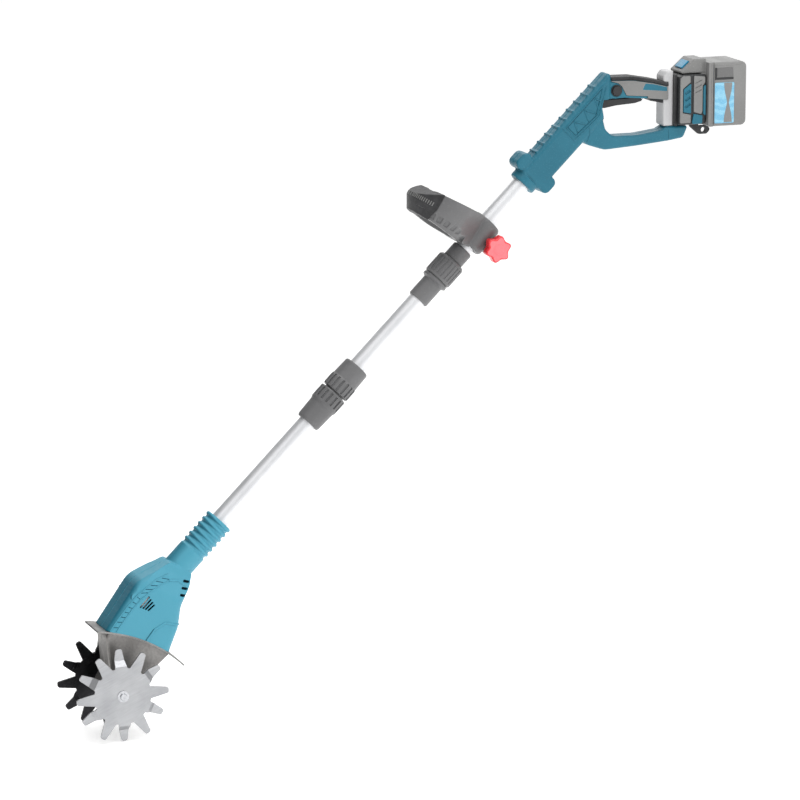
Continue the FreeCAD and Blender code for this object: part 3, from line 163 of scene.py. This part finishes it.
class Nodes:
    """Short calls for the nodes of one material."""

    def __init__(self, name):
        self.material = bpy.data.materials.new(name)
        self.material.use_nodes = True
        self.tree = self.material.node_tree
        self.shader = self.tree.nodes["Principled BSDF"]
        self.place = self.tree.nodes.new("ShaderNodeTexCoord").outputs["Object"]

    def link(self, output, target):
        self.tree.links.new(output, target)

    def node(self, kind, **settings):
        made = self.tree.nodes.new("ShaderNode" + kind)
        for key, value in settings.items():
            setattr(made, key, value)
        return made

    def stretched(self, factors, vector=None):
        mapping = self.node("Mapping")
        mapping.inputs["Scale"].default_value = factors
        self.link(vector or self.place, mapping.inputs["Vector"])
        return mapping.outputs["Vector"]

    def turned(self, angle, factors):
        """Coordinates turned about Y, then stretched, for grain that runs along a tilted tube."""
        turn = self.node("VectorRotate", rotation_type="Y_AXIS")
        turn.inputs["Angle"].default_value = angle
        self.link(self.place, turn.inputs["Vector"])
        return self.stretched(factors, turn.outputs["Vector"])

    def noise(self, scale, detail=3.0, vector=None, roughness=0.5):
        made = self.node("TexNoise")
        made.inputs["Scale"].default_value = scale
        made.inputs["Detail"].default_value = detail
        made.inputs["Roughness"].default_value = roughness
        self.link(vector or self.place, made.inputs["Vector"])
        return made.outputs["Fac"]

    def cells(self, scale):
        made = self.node("TexVoronoi", feature="F1")
        made.inputs["Scale"].default_value = scale
        self.link(self.place, made.inputs["Vector"])
        return made.outputs["Distance"]

    def ranged(self, value, low, high, out_low=0.0, out_high=1.0):
        """A value taken from one range to another and held within it."""
        made = self.node("MapRange", clamp=True)
        limits = {"From Min": low, "From Max": high, "To Min": out_low, "To Max": out_high}
        for socket, number in limits.items():
            made.inputs[socket].default_value = number
        self.link(value, made.inputs["Value"])
        return made.outputs["Result"]

    def mixed(self, share, first, second):
        """Two colours mixed by a share; each is a fixed colour or another node's output."""
        made = self.node("Mix", data_type="RGBA")
        for socket, value in (("A", first), ("B", second)):
            target = [item for item in made.inputs if item.name == socket and item.type == "RGBA"][0]
            if isinstance(value, tuple):
                target.default_value = value
            else:
                self.link(value, target)
        self.link(share, made.inputs["Factor"])
        return [item for item in made.outputs if item.type == "RGBA"][0]

    def maths(self, operation, first, second=None):
        made = self.node("Math", operation=operation)
        for index, value in enumerate((first, second)):
            if isinstance(value, float):
                made.inputs[index].default_value = value
            elif value is not None:
                self.link(value, made.inputs[index])
        return made.outputs["Value"]

    def soft_edges(self, radius):
        """A normal that rounds sharp edges, and how much it turned there."""
        bevel = self.node("Bevel", samples=4)
        bevel.inputs["Radius"].default_value = radius
        geometry = self.node("NewGeometry")
        facing = self.node("VectorMath", operation="DOT_PRODUCT")
        self.link(bevel.outputs["Normal"], facing.inputs[0])
        self.link(geometry.outputs["Normal"], facing.inputs[1])
        return bevel.outputs["Normal"], self.ranged(facing.outputs["Value"], 0.995, 0.86)

    def bump(self, height, strength, distance, normal=None):
        made = self.node("Bump")
        made.inputs["Strength"].default_value = strength
        made.inputs["Distance"].default_value = distance
        self.link(height, made.inputs["Height"])
        if normal is not None:
            self.link(normal, made.inputs["Normal"])
        return made.outputs["Normal"]


def lightened(colour, factor, extra):
    return tuple(min(255, int(part * factor) + extra) for part in colour)


def moulded(name, colour, shade, roughness, relief=0.00012, worn=None, coat=0.0, specular=0.45, painted_light_colour=None):
    """Moulded plastic: spark-eroded grain, slow colour drift, scuffs, and edges rubbed lighter.

    A paler colour, if there is one, is painted light toward the head, on faces that don't look to the front;
    faces that look to the front keep the darker colour as painted shade."""
    tool = Nodes(name)
    drift = tool.ranged(tool.noise(9.0, 4.0), 0.3, 0.7)
    base = tool.mixed(drift, linear(shade), linear(colour))
    # Painted light and shade: the teal turns paler toward the head, except on faces that look toward -X,
    # which stay darker.
    if painted_light_colour:
        axes = tool.node("SeparateXYZ")
        tool.link(tool.place, axes.inputs["Vector"])
        facing = tool.node("SeparateXYZ")
        tool.link(tool.node("NewGeometry").outputs["Normal"], facing.inputs["Vector"])
        share = tool.maths("MULTIPLY", tool.ranged(axes.outputs["X"], PAINTED_LIGHT_FROM, PAINTED_LIGHT_TO),
                           tool.ranged(facing.outputs["X"], PAINTED_SHADE_FACING, PAINTED_LIGHT_FACING))
        base = tool.mixed(share, base, linear(painted_light_colour))
    fleck = tool.ranged(tool.noise(420.0, 2.0), 0.58, 0.72, 0.0, 0.16)
    base = tool.mixed(fleck, base, linear(worn or lightened(colour, 1.25, 8)))
    normal, turn = tool.soft_edges(MOULDED_EDGE)
    rub = tool.maths("MULTIPLY", turn, tool.ranged(tool.noise(150.0, 4.0), 0.35, 0.65, 0.15, 0.75))
    base = tool.mixed(rub, base, linear(worn or lightened(colour, 1.3, 14)))
    scuff = tool.noise(60.0, 6.0, tool.stretched((1.0, 1.0, 5.0)))
    tool.link(base, tool.shader.inputs["Base Color"])
    scuffed = tool.ranged(scuff, 0.3, 0.72, roughness - 0.07, roughness + 0.09)
    tool.link(scuffed, tool.shader.inputs["Roughness"])
    pebble = tool.maths("ADD", tool.cells(GRAIN), tool.noise(GRAIN * 2.1, 2.0))
    tool.link(tool.bump(pebble, 0.35, relief, normal), tool.shader.inputs["Normal"])
    tool.shader.inputs["Coat Weight"].default_value = coat
    tool.shader.inputs["Coat Roughness"].default_value = 0.3
    tool.shader.inputs["Specular IOR Level"].default_value = specular
    return tool.material


def rubber(name, colour, dusty):
    """Soft overmould: a fine pebbled skin with chalky bloom on it."""
    tool = Nodes(name)
    bloom = tool.ranged(tool.noise(34.0, 6.0), 0.36, 0.72, 0.05, 0.9)
    base = tool.mixed(bloom, linear(colour), linear(dusty))
    normal, turn = tool.soft_edges(RUBBER_EDGE)
    base = tool.mixed(tool.maths("MULTIPLY", turn, 0.35), base, linear(lightened(dusty, 1.0, 40)))
    tool.link(base, tool.shader.inputs["Base Color"])
    tool.link(tool.ranged(tool.noise(200.0, 4.0), 0.3, 0.7, 0.62, 0.86), tool.shader.inputs["Roughness"])
    dots = tool.ranged(tool.cells(620.0), 0.12, 0.5, 1.0, 0.0)
    skin = tool.maths("ADD", dots, tool.maths("MULTIPLY", tool.noise(1500.0, 2.0), 0.4))
    tool.link(tool.bump(skin, 0.55, 0.00022, normal), tool.shader.inputs["Normal"])
    tool.shader.inputs["Sheen Weight"].default_value = 0.18
    return tool.material


def metal(name, colour, shade, roughness, vector_of=None, streak=0.00003, metallic=1.0, marks=0.25):
    """Bare metal: drawn or rolled streaks, handling marks and bright edges."""
    tool = Nodes(name)
    vector = vector_of(tool) if vector_of else tool.place
    lines = tool.noise(260.0, 5.0, vector, 0.6)
    cloud = tool.ranged(tool.noise(22.0, 5.0), 0.3, 0.75)
    base = tool.mixed(cloud, linear(colour), linear(shade))
    base = tool.mixed(tool.ranged(lines, 0.35, 0.7, 0.0, marks), base, linear(lightened(shade, 0.72, 0)))
    normal, turn = tool.soft_edges(METAL_EDGE)
    base = tool.mixed(tool.maths("MULTIPLY", turn, 0.6), base, linear((236, 236, 236)))
    tool.link(base, tool.shader.inputs["Base Color"])
    streaked = tool.ranged(lines, 0.3, 0.75, roughness - 0.06, roughness + 0.12)
    tool.link(streaked, tool.shader.inputs["Roughness"])
    tool.link(tool.bump(lines, 0.4, streak, normal), tool.shader.inputs["Normal"])
    tool.shader.inputs["Metallic"].default_value = metallic
    return tool.material


def along_pole(tool):
    """Grain drawn out along the pole."""
    return tool.turned(math.radians(-45.0), (6.0, 6.0, 0.12))


def sheet_grain(tool):
    """Grain rolled along a sheet."""
    return tool.turned(math.radians(25.0), (0.15, 3.0, 4.0))


def label_film(name, colour, shade):
    """A printed film: smooth, with faint soft waves and print mottle."""
    tool = Nodes(name)
    wave = tool.node("TexWave", wave_type="BANDS", bands_direction="Z", wave_profile="SIN")
    for socket, number in {"Scale": 22.0, "Distortion": 7.0, "Detail": 2.0, "Detail Scale": 1.6}.items():
        wave.inputs[socket].default_value = number
    tool.link(tool.place, wave.inputs["Vector"])
    base = tool.mixed(tool.ranged(wave.outputs["Fac"], 0.35, 0.9, 0.0, 0.7), linear(colour), linear(shade))
    mottle = tool.ranged(tool.noise(700.0, 2.0), 0.4, 0.7, 0.0, 0.2)
    base = tool.mixed(mottle, base, linear((232, 246, 252)))
    normal, _ = tool.soft_edges(FILM_EDGE)
    tool.link(base, tool.shader.inputs["Base Color"])
    tool.link(tool.ranged(tool.noise(90.0, 4.0), 0.3, 0.7, 0.24, 0.4), tool.shader.inputs["Roughness"])
    tool.link(tool.bump(tool.noise(1100.0, 2.0), 0.2, 0.00004, normal), tool.shader.inputs["Normal"])
    return tool.material


def floor_finish():
    """A pale matt floor with a little light of its own."""
    tool = Nodes("pale_floor")
    cloud = tool.ranged(tool.noise(5.0, 4.0), 0.3, 0.7)
    base = tool.mixed(cloud, linear((248, 248, 247)), linear((252, 252, 252)))
    tool.link(base, tool.shader.inputs["Base Color"])
    tool.link(tool.ranged(tool.noise(40.0, 3.0), 0.3, 0.7, 0.7, 0.85), tool.shader.inputs["Roughness"])
    tool.link(tool.bump(tool.noise(300.0, 2.0), 0.1, 0.0001), tool.shader.inputs["Normal"])
    tool.shader.inputs["Emission Color"].default_value = (1.0, 1.0, 1.0, 1.0)
    tool.shader.inputs["Emission Strength"].default_value = FLOOR_GLOW
    return tool.material


finish = {
    # The teal's paler colour is painted light on the head's side faces.
    "teal_plastic": moulded("teal_plastic", (38, 110, 130), (30, 98, 118), 0.42, specular=0.32,
                            painted_light_colour=(74, 152, 174), worn=(92, 162, 180)),
    "teal_trim": moulded("teal_trim", (34, 108, 130), (26, 94, 114), 0.38, specular=0.32),
    "black_rubber": rubber("black_rubber", (22, 22, 24), (52, 52, 54)),
    "grey_plastic": moulded("grey_plastic", (128, 128, 127), (113, 113, 112), 0.44),
    "dark_plastic": moulded("dark_plastic", (109, 109, 110), (90, 90, 91), 0.4),
    "black_plastic": moulded("black_plastic", (40, 41, 43), (26, 27, 29), 0.45),
    "light_plastic": moulded("light_plastic", (190, 190, 191), (178, 178, 180), 0.4, worn=(236, 236, 236)),
    "blue_plastic": moulded("blue_plastic", (34, 140, 176), (22, 116, 152), 0.32, coat=0.2),
    "label_blue": label_film("label_blue", (98, 172, 206), (136, 196, 220)),
    "red_plastic": moulded("red_plastic", (236, 44, 54), (214, 26, 38), 0.3, coat=0.5,
                           worn=(255, 150, 152)),
    "pole_aluminium": metal("pole_aluminium", (232, 233, 235), (220, 221, 224), 0.34, along_pole,
                            metallic=0.6, marks=0.1),
    "tine_steel": metal("tine_steel", (186, 187, 189), (164, 165, 168), 0.36, sheet_grain, 0.00004),
    "bright_steel": metal("bright_steel", (208, 209, 212), (176, 178, 182), 0.25),
    "copper_brown": metal("copper_brown", (170, 98, 58), (126, 70, 42), 0.38),
    "board_green": moulded("board_green", (34, 104, 62), (24, 82, 50), 0.4),
    "cell_wrap": moulded("cell_wrap", (44, 96, 150), (34, 76, 124), 0.34),
    "case_aluminium": metal("case_aluminium", (150, 148, 146), (122, 120, 118), 0.46, None, 0.00012),
    "guard_metal": metal("guard_metal", (158, 157, 155), (112, 111, 110), 0.36, sheet_grain, 0.00004),
}
# Darker teal for lines beside ribs, along creases and between panel lines: painted shade.
painted_shade_teal = moulded("teal_painted_shade", (22, 74, 90), (16, 62, 78), 0.5, relief=0.00004, specular=0.2)
# A paler pink copy of the red plastic for the knob's face: painted light.
knob_face_painted_light = moulded("knob_face_pink_painted_light", (250, 128, 134), (244, 108, 116), 0.34, coat=0.3,
                    worn=(255, 170, 172))
# A darker copy of the tine steel for the far disc: painted shade.
painted_shade_steel = metal("tine_steel_painted_shade", (66, 66, 68), (38, 38, 40), 0.3, sheet_grain, 0.00004)
pocket_grey = moulded("pocket_grey", (104, 104, 104), (92, 92, 92), 0.5)


def dress_nodes():
    """Every CAD node takes the finish of its material slot; the far tine disc takes a darker copy of the
    tine steel, as painted shade.
    """
    for part in frame["record"]["subparts"]:
        materials = nodes[part["node"]].data.materials
        materials.clear()
        materials.append(finish[part["material_slot"]])
    # The far disc is drawn darker as painted shade.
    nodes["tine_disc_right"].data.materials[0] = painted_shade_steel


# ---------------------------------------------------------------- frames and surfaces

POLE_OFFSET = 26.446             # how far the pole frame's origin is ahead of the grip's centre and above it
POLE_LEAN = 45.0
CLAMP_DOWN = 339.0               # from there down the pole to the loop handle's clamp, and to the head
HEAD_DOWN = 1039.0
LOOP_LEAN = 32.0
HEAD_LEAN = 30.0
RAY_FROM = 120.0                 # a Y outside every piece, where the rays start
RIDGE = ((-0.5, -0.35), (-0.46, 0.55), (-0.2, 1.0), (0.2, 1.0), (0.46, 0.55), (0.5, -0.35))


def tilted(origin, angle):
    """A frame whose Z axis leans from the vertical toward +X."""
    return Matrix.Translation(origin) @ Matrix.Rotation(math.radians(angle), 4, "Y")


def mm(x, y, z):
    return Vector((x * MM, y * MM, z * MM))


ROW = Matrix.Identity(4)
POLE = tilted(mm(-POLE_OFFSET, 0, POLE_OFFSET), POLE_LEAN)
HEAD = tilted(POLE @ mm(0, 0, -HEAD_DOWN), HEAD_LEAN)
LOOP = tilted(POLE @ mm(0, 0, -CLAMP_DOWN), LOOP_LEAN)
surfaces = {}


def surface(names):
    """A ray-casting tree over some CAD nodes."""
    if names not in surfaces:
        verts = []
        faces = []
        for name in names:
            start = len(verts)
            verts += [vertex.co.copy() for vertex in nodes[name].data.vertices]
            for polygon in nodes[name].data.polygons:
                faces.append([start + index for index in polygon.vertices])
        surfaces[names] = BVHTree.FromPolygons(verts, faces)
    return surfaces[names]


def landed(place, x, z, side, names):
    """The point of a surface under (x, z) of a frame, seen along Y from one side, and its normal."""
    start = place @ mm(x, side * RAY_FROM, z)
    point, normal, _, _ = surface(names).ray_cast(start, Vector((0, -side, 0)))
    if point is None:
        return None, None
    if normal.y * side < 0:
        normal = -normal
    return point, normal


def mesh_piece(name, verts, faces, material, body, smooth=True):
    """A visible piece made of points and faces, riding a body."""
    data = bpy.data.meshes.new(name)
    data.from_pydata([tuple(point) for point in verts], [], faces)
    data.validate()
    work = bmesh.new()
    work.from_mesh(data)
    bmesh.ops.recalc_face_normals(work, faces=work.faces)
    work.to_mesh(data)
    work.free()
    for polygon in data.polygons:
        polygon.use_smooth = smooth
    thing = bpy.data.objects.new(name, data)
    thing.data.materials.append(material)
    bpy.context.scene.collection.objects.link(thing)
    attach(thing, body)
    return thing


def walked(points, step):
    """Points spaced along a line through the given points."""
    result = []
    for (ax, az), (bx, bz) in zip(points, points[1:]):
        length = math.hypot(bx - ax, bz - az)
        count = max(1, int(length / step))
        result += [(ax + (bx - ax) * i / count, az + (bz - az) * i / count) for i in range(count)]
    result.append(points[-1])
    return result


def ridge_row(place, path, index, width, height, side, names):
    """The points across a ridge at one point of its path, or none where there is no surface."""
    before = path[max(index - 1, 0)]
    after = path[min(index + 1, len(path) - 1)]
    along = Vector((after[0] - before[0], after[1] - before[1])).normalized()
    x, z = path[index]
    row = []
    for share, level in RIDGE:
        point, normal = landed(place, x - along.y * width * share, z + along.x * width * share, side, names)
        if point is None:
            return []
        row.append(point + normal * (level * height * MM))
    return row


def ridge_lines(name, place, lines, width, height, side, names, material, body, step=2.0):
    """Raised or inlaid lines that follow a surface: each is a low rounded strip along its points."""
    verts = []
    faces = []
    count = len(RIDGE)
    for line in lines:
        path = walked(line, step)
        rows = [ridge_row(place, path, index, width, height, side, names) for index in range(len(path))]
        rows = [row for row in rows if row]
        if len(rows) < 2:
            continue
        start = len(verts)
        for row in rows:
            verts += row
        last = len(verts) - count
        for first in range(start, last, count):
            for corner in range(count):
                a = first + corner
                b = first + (corner + 1) % count
                faces.append((a, b, b + count, a + count))
        faces.append(tuple(range(start, start + count)))
        faces.append(tuple(range(last, last + count)))
    return mesh_piece(name, verts, faces, material, body)


def pad_piece(name, place, outline, side, level, thick, material, body, edge):
    """A flat moulded pad on a side face: an outline, pressed out to a thickness, with bevelled rims."""
    low = side * level
    high = side * (level + thick)
    count = len(outline)
    verts = [place @ mm(x, low, z) for x, z in outline] + [place @ mm(x, high, z) for x, z in outline]
    faces = [tuple(range(count)), tuple(range(count, 2 * count))]
    faces += [(i, (i + 1) % count, (i + 1) % count + count, i + count) for i in range(count)]
    thing = mesh_piece(name, verts, faces, material, body, smooth=False)
    bevel = thing.modifiers.new("rims", "BEVEL")
    bevel.width = edge * MM
    bevel.segments = 3
    bevel.limit_method = "ANGLE"
    bevel.angle_limit = math.radians(50)
    bevel.harden_normals = True
    return thing


def softened(node, voxel, rounds, body, slot):
    """A moulded copy of a CAD node with eased edges, shown in its place."""
    source = nodes[node]
    thing = bpy.data.objects.new(node + "_moulded", source.data.copy())
    bpy.context.scene.collection.objects.link(thing)
    remesh = thing.modifiers.new("remesh", "REMESH")
    remesh.mode = "VOXEL"
    remesh.voxel_size = voxel * MM
    remesh.use_smooth_shade = True
    smooth = thing.modifiers.new("ease", "SMOOTH")
    smooth.factor = 0.5
    smooth.iterations = rounds
    graph = bpy.context.evaluated_depsgraph_get()
    settled = bpy.data.meshes.new_from_object(thing.evaluated_get(graph))
    thing.modifiers.clear()
    thing.data = settled
    thing.data.materials.clear()
    thing.data.materials.append(finish[slot])
    for polygon in settled.polygons:
        polygon.use_smooth = True
    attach(thing, body)
    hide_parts(node)
    return thing


# ---------------------------------------------------------------- details

BOTH = ((-1, "near"), (1, "far"))
BARREL_RIBS = 6
BARREL_RIB_START = -121.0
BARREL_RIB_PITCH = 12.0
EAR_AT = 30.0                    # the clamp bolt, from the pole's axis
LOBES = 6
KNOB_HOLLOW = 0.1                # how much the hollows between the lobes are drawn in
KNOB_CORE = 12.0                 # the knob's middle, which keeps its shape
KNOB_FACE = 38.6                 # the level of the knob's face, from the tool's middle plane
ROSETTE = 16.4
ROSETTE_WAVE = 2.4
NOSE_MIDDLE = -75.6              # the centres of the loop's front arcs, in the loop's frame
NOSE_SPREAD = 4.6
NOSE_RIBS = 12                   # on each side of the middle one
NOSE_RIB_STEP = 4.4
NOSE_RIB_ENDS = (                # at the foot and the tip: radius, lower edge, upper edge, half width
    (51.0, -2.6, 4.4, 1.0),
    (54.2, -2.2, 4.0, 0.7),
)


def rear_handle_details():
    """The barrel's raised frame and slanted ribs with painted shadows beside them, painted shade along the
    guard arm's creases, and the grip's lower pad.
    """
    names = ("rear_housing_left", "rear_housing_right")
    frame_line = [(-14.5, -126), (7.2, -126), (10.8, -78), (-14.5, -40), (-14.5, -126)]
    outer_line = [(-17.6, -131), (10.2, -131), (14.2, -77), (-10, -36)]
    ribs = []
    for index in range(BARREL_RIBS):
        rise = BARREL_RIB_PITCH * index
        low = BARREL_RIB_START + rise
        lean = 10.0 if index % 2 == 0 else -1.0
        ribs.append([(-10.5, low + lean), (3.6 + 0.06 * rise, low + 7.0 - lean * 0.4)])
    # Dark lines beside the ribs and inside the frame: painted shadows.
    shadows = [[(x + 1.5, z - 0.5) for x, z in line] for line in ribs]
    inner_shadow = [(x + (1.5 if x < 0 else -1.6), z + (1.8 if z < -80 else -2.6)) for x, z in frame_line]
    crease = [[(-88, -52), (-86, -66), (-92, -82)], [(47, -63), (48, -72), (47.5, -80)],
              [(38, -63.5), (46, -61.5), (57, -61.5)]]
    for side, word in BOTH:
        ridge_lines("barrel_frame_" + word, POLE, [frame_line, outer_line], 1.8, 1.0, side, names,
                    finish["teal_plastic"], "rear_handle")
        ridge_lines("barrel_ribs_" + word, POLE, ribs, 2.2, 1.1, side, names, finish["teal_plastic"],
                    "rear_handle")
        ridge_lines("barrel_shadows_" + word, POLE, [*shadows, inner_shadow], 1.0, 0.1, side, names,
                    painted_shade_teal, "rear_handle")
        # Dark lines along the guard arm's creases: painted shade.
        ridge_lines("arm_crease_painted_shade_" + word, ROW, crease, 0.6, 0.12, side, names, painted_shade_teal,
                    "rear_handle")
    under = [(14, -14.9), (48, -19.0), (48, -23.4), (38, -22.8), (18, -18.6)]
    pad_piece("grip_under_pad", ROW, under, -1, -13.4, 26.8, finish["black_rubber"], "rear_handle",
              1.2)


def hourglass(middle, top, bottom, half, waist):
    """The outline of an upright hourglass with smooth flanks."""
    count = 32
    flank = []
    for index in range(count + 1):
        share = index / count
        reach = waist + (half - waist) * abs(math.cos(math.pi * share)) ** 1.2
        flank.append((reach, top + (bottom - top) * share))
    right = [(middle + reach, z) for reach, z in flank]
    return right + [(middle - reach, z) for reach, z in reversed(flank)]


def battery_details():
    """The finger pocket, the seam ridges and the grey figure on the label of each flank."""
    for side, word in BOTH:
        pocket = [(117.2, 31.5), (120.6, 31.5), (120.6, 16.0), (149, 16.0), (149, 12.4), (117.2, 12.4)]
        pad_piece("battery_pocket_" + word, ROW, pocket, side, 35.8, 0.5, finish["black_plastic"],
                  "battery", 0.2)
        shelf = [(120.8, 31.2), (147.8, 31.2), (148.6, 16.2), (120.8, 16.2)]
        pad_piece("battery_finger_pad_" + word, ROW, shelf, side, 35.8, 0.9, pocket_grey, "battery",
                  0.5)
        pad_piece("label_figure_" + word, ROW, hourglass(139.5, 7.6, -54.8, 6.9, 1.5), side, 37.1, 0.35,
                  finish["grey_plastic"], "battery", 0.12)
        rails = [[(112.2, 37.5), (112.2, -58.5)], [(118.2, 36.0), (164.0, 36.0)]]
        ridge_lines("battery_rails_" + word, ROW, rails, 1.4, 0.5, side, ("battery_front", "battery_case"),
                    finish["grey_plastic"], "battery")


def head_details():
    """The motor housing's two raised panel lines, dark ticks of painted shade between them, and its crease
    with a painted shadow.
    """
    names = ("head_housing_left", "head_housing_right")
    front = [(-60.5, -128), (-58.5, -108), (-54.5, -80), (-50, -60), (-43.5, -44), (-33, -26), (-18, -10)]
    inner = [(-52.5, -128), (-50.5, -108), (-46.5, -82), (-42, -64), (-36, -50), (-26, -34), (-12, -18)]
    ticks = []
    for (ax, az), (bx, bz) in zip(walked(front, 8.5), walked(inner, 8.0)):
        ticks.append([(ax + 1.2, az - 1.5), (bx - 1.0, bz + 1.5)])
    crease = [[(36, -72), (12, -78), (2, -94), (-1, -116), (4, -128)], [(-12, -18), (2, -12), (16, -14)]]
    crease_shadow = [(x - 2.0, z - 1.6) for x, z in crease[0]]
    for side, word in BOTH:
        ridge_lines("head_panel_lines_" + word, HEAD, [front, inner], 1.6, 1.0, side, names,
                    finish["teal_plastic"], "lower_pole")
        # Dark ticks between the panel lines: painted shade.
        ridge_lines("head_ticks_" + word, HEAD, ticks, 1.1, 0.14, side, names, painted_shade_teal,
                    "lower_pole", step=1.0)
        ridge_lines("head_crease_" + word, HEAD, crease, 3.4, 1.2, side, names, finish["teal_plastic"],
                    "lower_pole")
        # A dark line beside the crease: painted shadow.
        ridge_lines("head_crease_shadow_" + word, HEAD, [crease_shadow], 1.6, 0.14, side, names, painted_shade_teal,
                    "lower_pole")


def loop_details():
    """The row of short pale ribs round the front of the loop's rubber."""
    verts = []
    faces = []
    for index in range(-NOSE_RIBS, NOSE_RIBS + 1):
        turn = Matrix.Rotation(math.radians(180.0 + NOSE_RIB_STEP * index), 4, "Z")
        middle = -math.copysign(NOSE_SPREAD, index) if index else 0.0
        place = LOOP @ Matrix.Translation(mm(NOSE_MIDDLE, middle, 0)) @ turn
        start = len(verts)
        for reach, low, high, half in NOSE_RIB_ENDS:
            corners = ((-half, low), (half, low), (half, high), (-half, high))
            verts += [place @ mm(reach, y, z) for y, z in corners]
        faces += [(start + 3, start + 2, start + 1, start), (start + 4, start + 5, start + 6, start + 7)]
        for a, b in ((0, 1), (1, 2), (2, 3), (3, 0)):
            faces.append((start + a, start + b, start + 4 + b, start + 4 + a))
    mesh_piece("loop_grip_ribs", verts, faces, finish["grey_plastic"], "loop_handle",
               smooth=False)


def waved_disc(radius, wave, count):
    """The outline of a disc with a shallow wave for each of the knob's lobes."""
    outline = []
    for index in range(count):
        angle = 2 * math.pi * index / count
        reach = radius + wave * math.cos(LOBES * angle)
        outline.append((reach * math.cos(angle), reach * math.sin(angle)))
    return outline


KNOB = POLE @ Matrix.Translation(mm(EAR_AT, 0, -CLAMP_DOWN))


def knob_details():
    """The star knob's face, a paler pink copy of the red plastic as painted light: a rosette, a low ring and
    the disc within it.
    """
    rosette = waved_disc(ROSETTE, ROSETTE_WAVE, 72)
    pad_piece("knob_face_painted_light", KNOB, rosette, -1, KNOB_FACE, 0.9, knob_face_painted_light, "clamp_knob", 0.8)
    for name, radius, thick in (("knob_ring", 8.0, 0.6), ("knob_dimple", 6.6, 0.9)):
        disc = waved_disc(radius, 0.0, 40)
        pad_piece(name, KNOB, disc, -1, KNOB_FACE + 0.8, thick, knob_face_painted_light, "clamp_knob", 0.3)


def pinch_knob(thing):
    """Draws in the hollows between the star knob's lobes."""
    inverse = KNOB.inverted()
    for vertex in thing.data.vertices:
        local = inverse @ vertex.co
        if math.hypot(local.x, local.z) > KNOB_CORE * MM:
            angle = math.atan2(local.z, local.x)
            pinch = 1.0 - KNOB_HOLLOW * (1.0 - math.cos(LOBES * angle)) / 2.0
            vertex.co = KNOB @ Vector((local.x * pinch, local.y, local.z * pinch))


def soften_all():
    """Eased copies of the large mouldings: node, voxel in mm, rounds of smoothing, body and slot."""
    moulds = (
        ("rear_housing_left", 0.9, 4, "rear_handle", "teal_plastic"),
        ("rear_housing_right", 0.9, 4, "rear_handle", "teal_plastic"),
        ("head_housing_left", 0.9, 4, "lower_pole", "teal_plastic"),
        ("head_housing_right", 0.9, 4, "lower_pole", "teal_plastic"),
        ("gear_case_left", 0.9, 3, "lower_pole", "case_aluminium"),
        ("gear_case_right", 0.9, 3, "lower_pole", "case_aluminium"),
        ("loop_handle", 0.8, 4, "loop_handle", "dark_plastic"),
        ("loop_grip", 0.7, 4, "loop_handle", "black_rubber"),
        ("battery_case", 0.9, 3, "battery", "grey_plastic"),
        ("battery_front", 0.7, 3, "battery", "grey_plastic"),
        ("battery_mount", 0.8, 3, "rear_handle", "black_plastic"),
        ("rear_bracket", 0.8, 4, "rear_handle", "light_plastic"),
        ("trigger", 0.5, 3, "trigger", "black_plastic"),
    )
    for node, voxel, rounds, body, slot in moulds:
        softened(node, voxel, rounds, body, slot)
    pinch_knob(softened("clamp_knob", 0.6, 4, "clamp_knob", "red_plastic"))


def make_floor():
    """The floor just under the object, which stays out of the part."""
    corners = [(FLOOR_REACH * x, FLOOR_REACH * y, 0.0) for x, y in ((-1, -1), (1, -1), (1, 1), (-1, 1))]
    data = bpy.data.meshes.new("floor")
    data.from_pydata(corners, [], [(0, 1, 2, 3)])
    floor = bpy.data.objects.new("floor", data)
    floor.location = (0, 0, cad_low.z - FLOOR_GAP)
    floor.data.materials.append(floor_finish())
    bpy.context.scene.collection.objects.link(floor)


# ---------------------------------------------------------------- the scene

make_camera()
make_light()
dress_nodes()
soften_all()
rear_handle_details()
battery_details()
head_details()
knob_details()
loop_details()
make_floor()
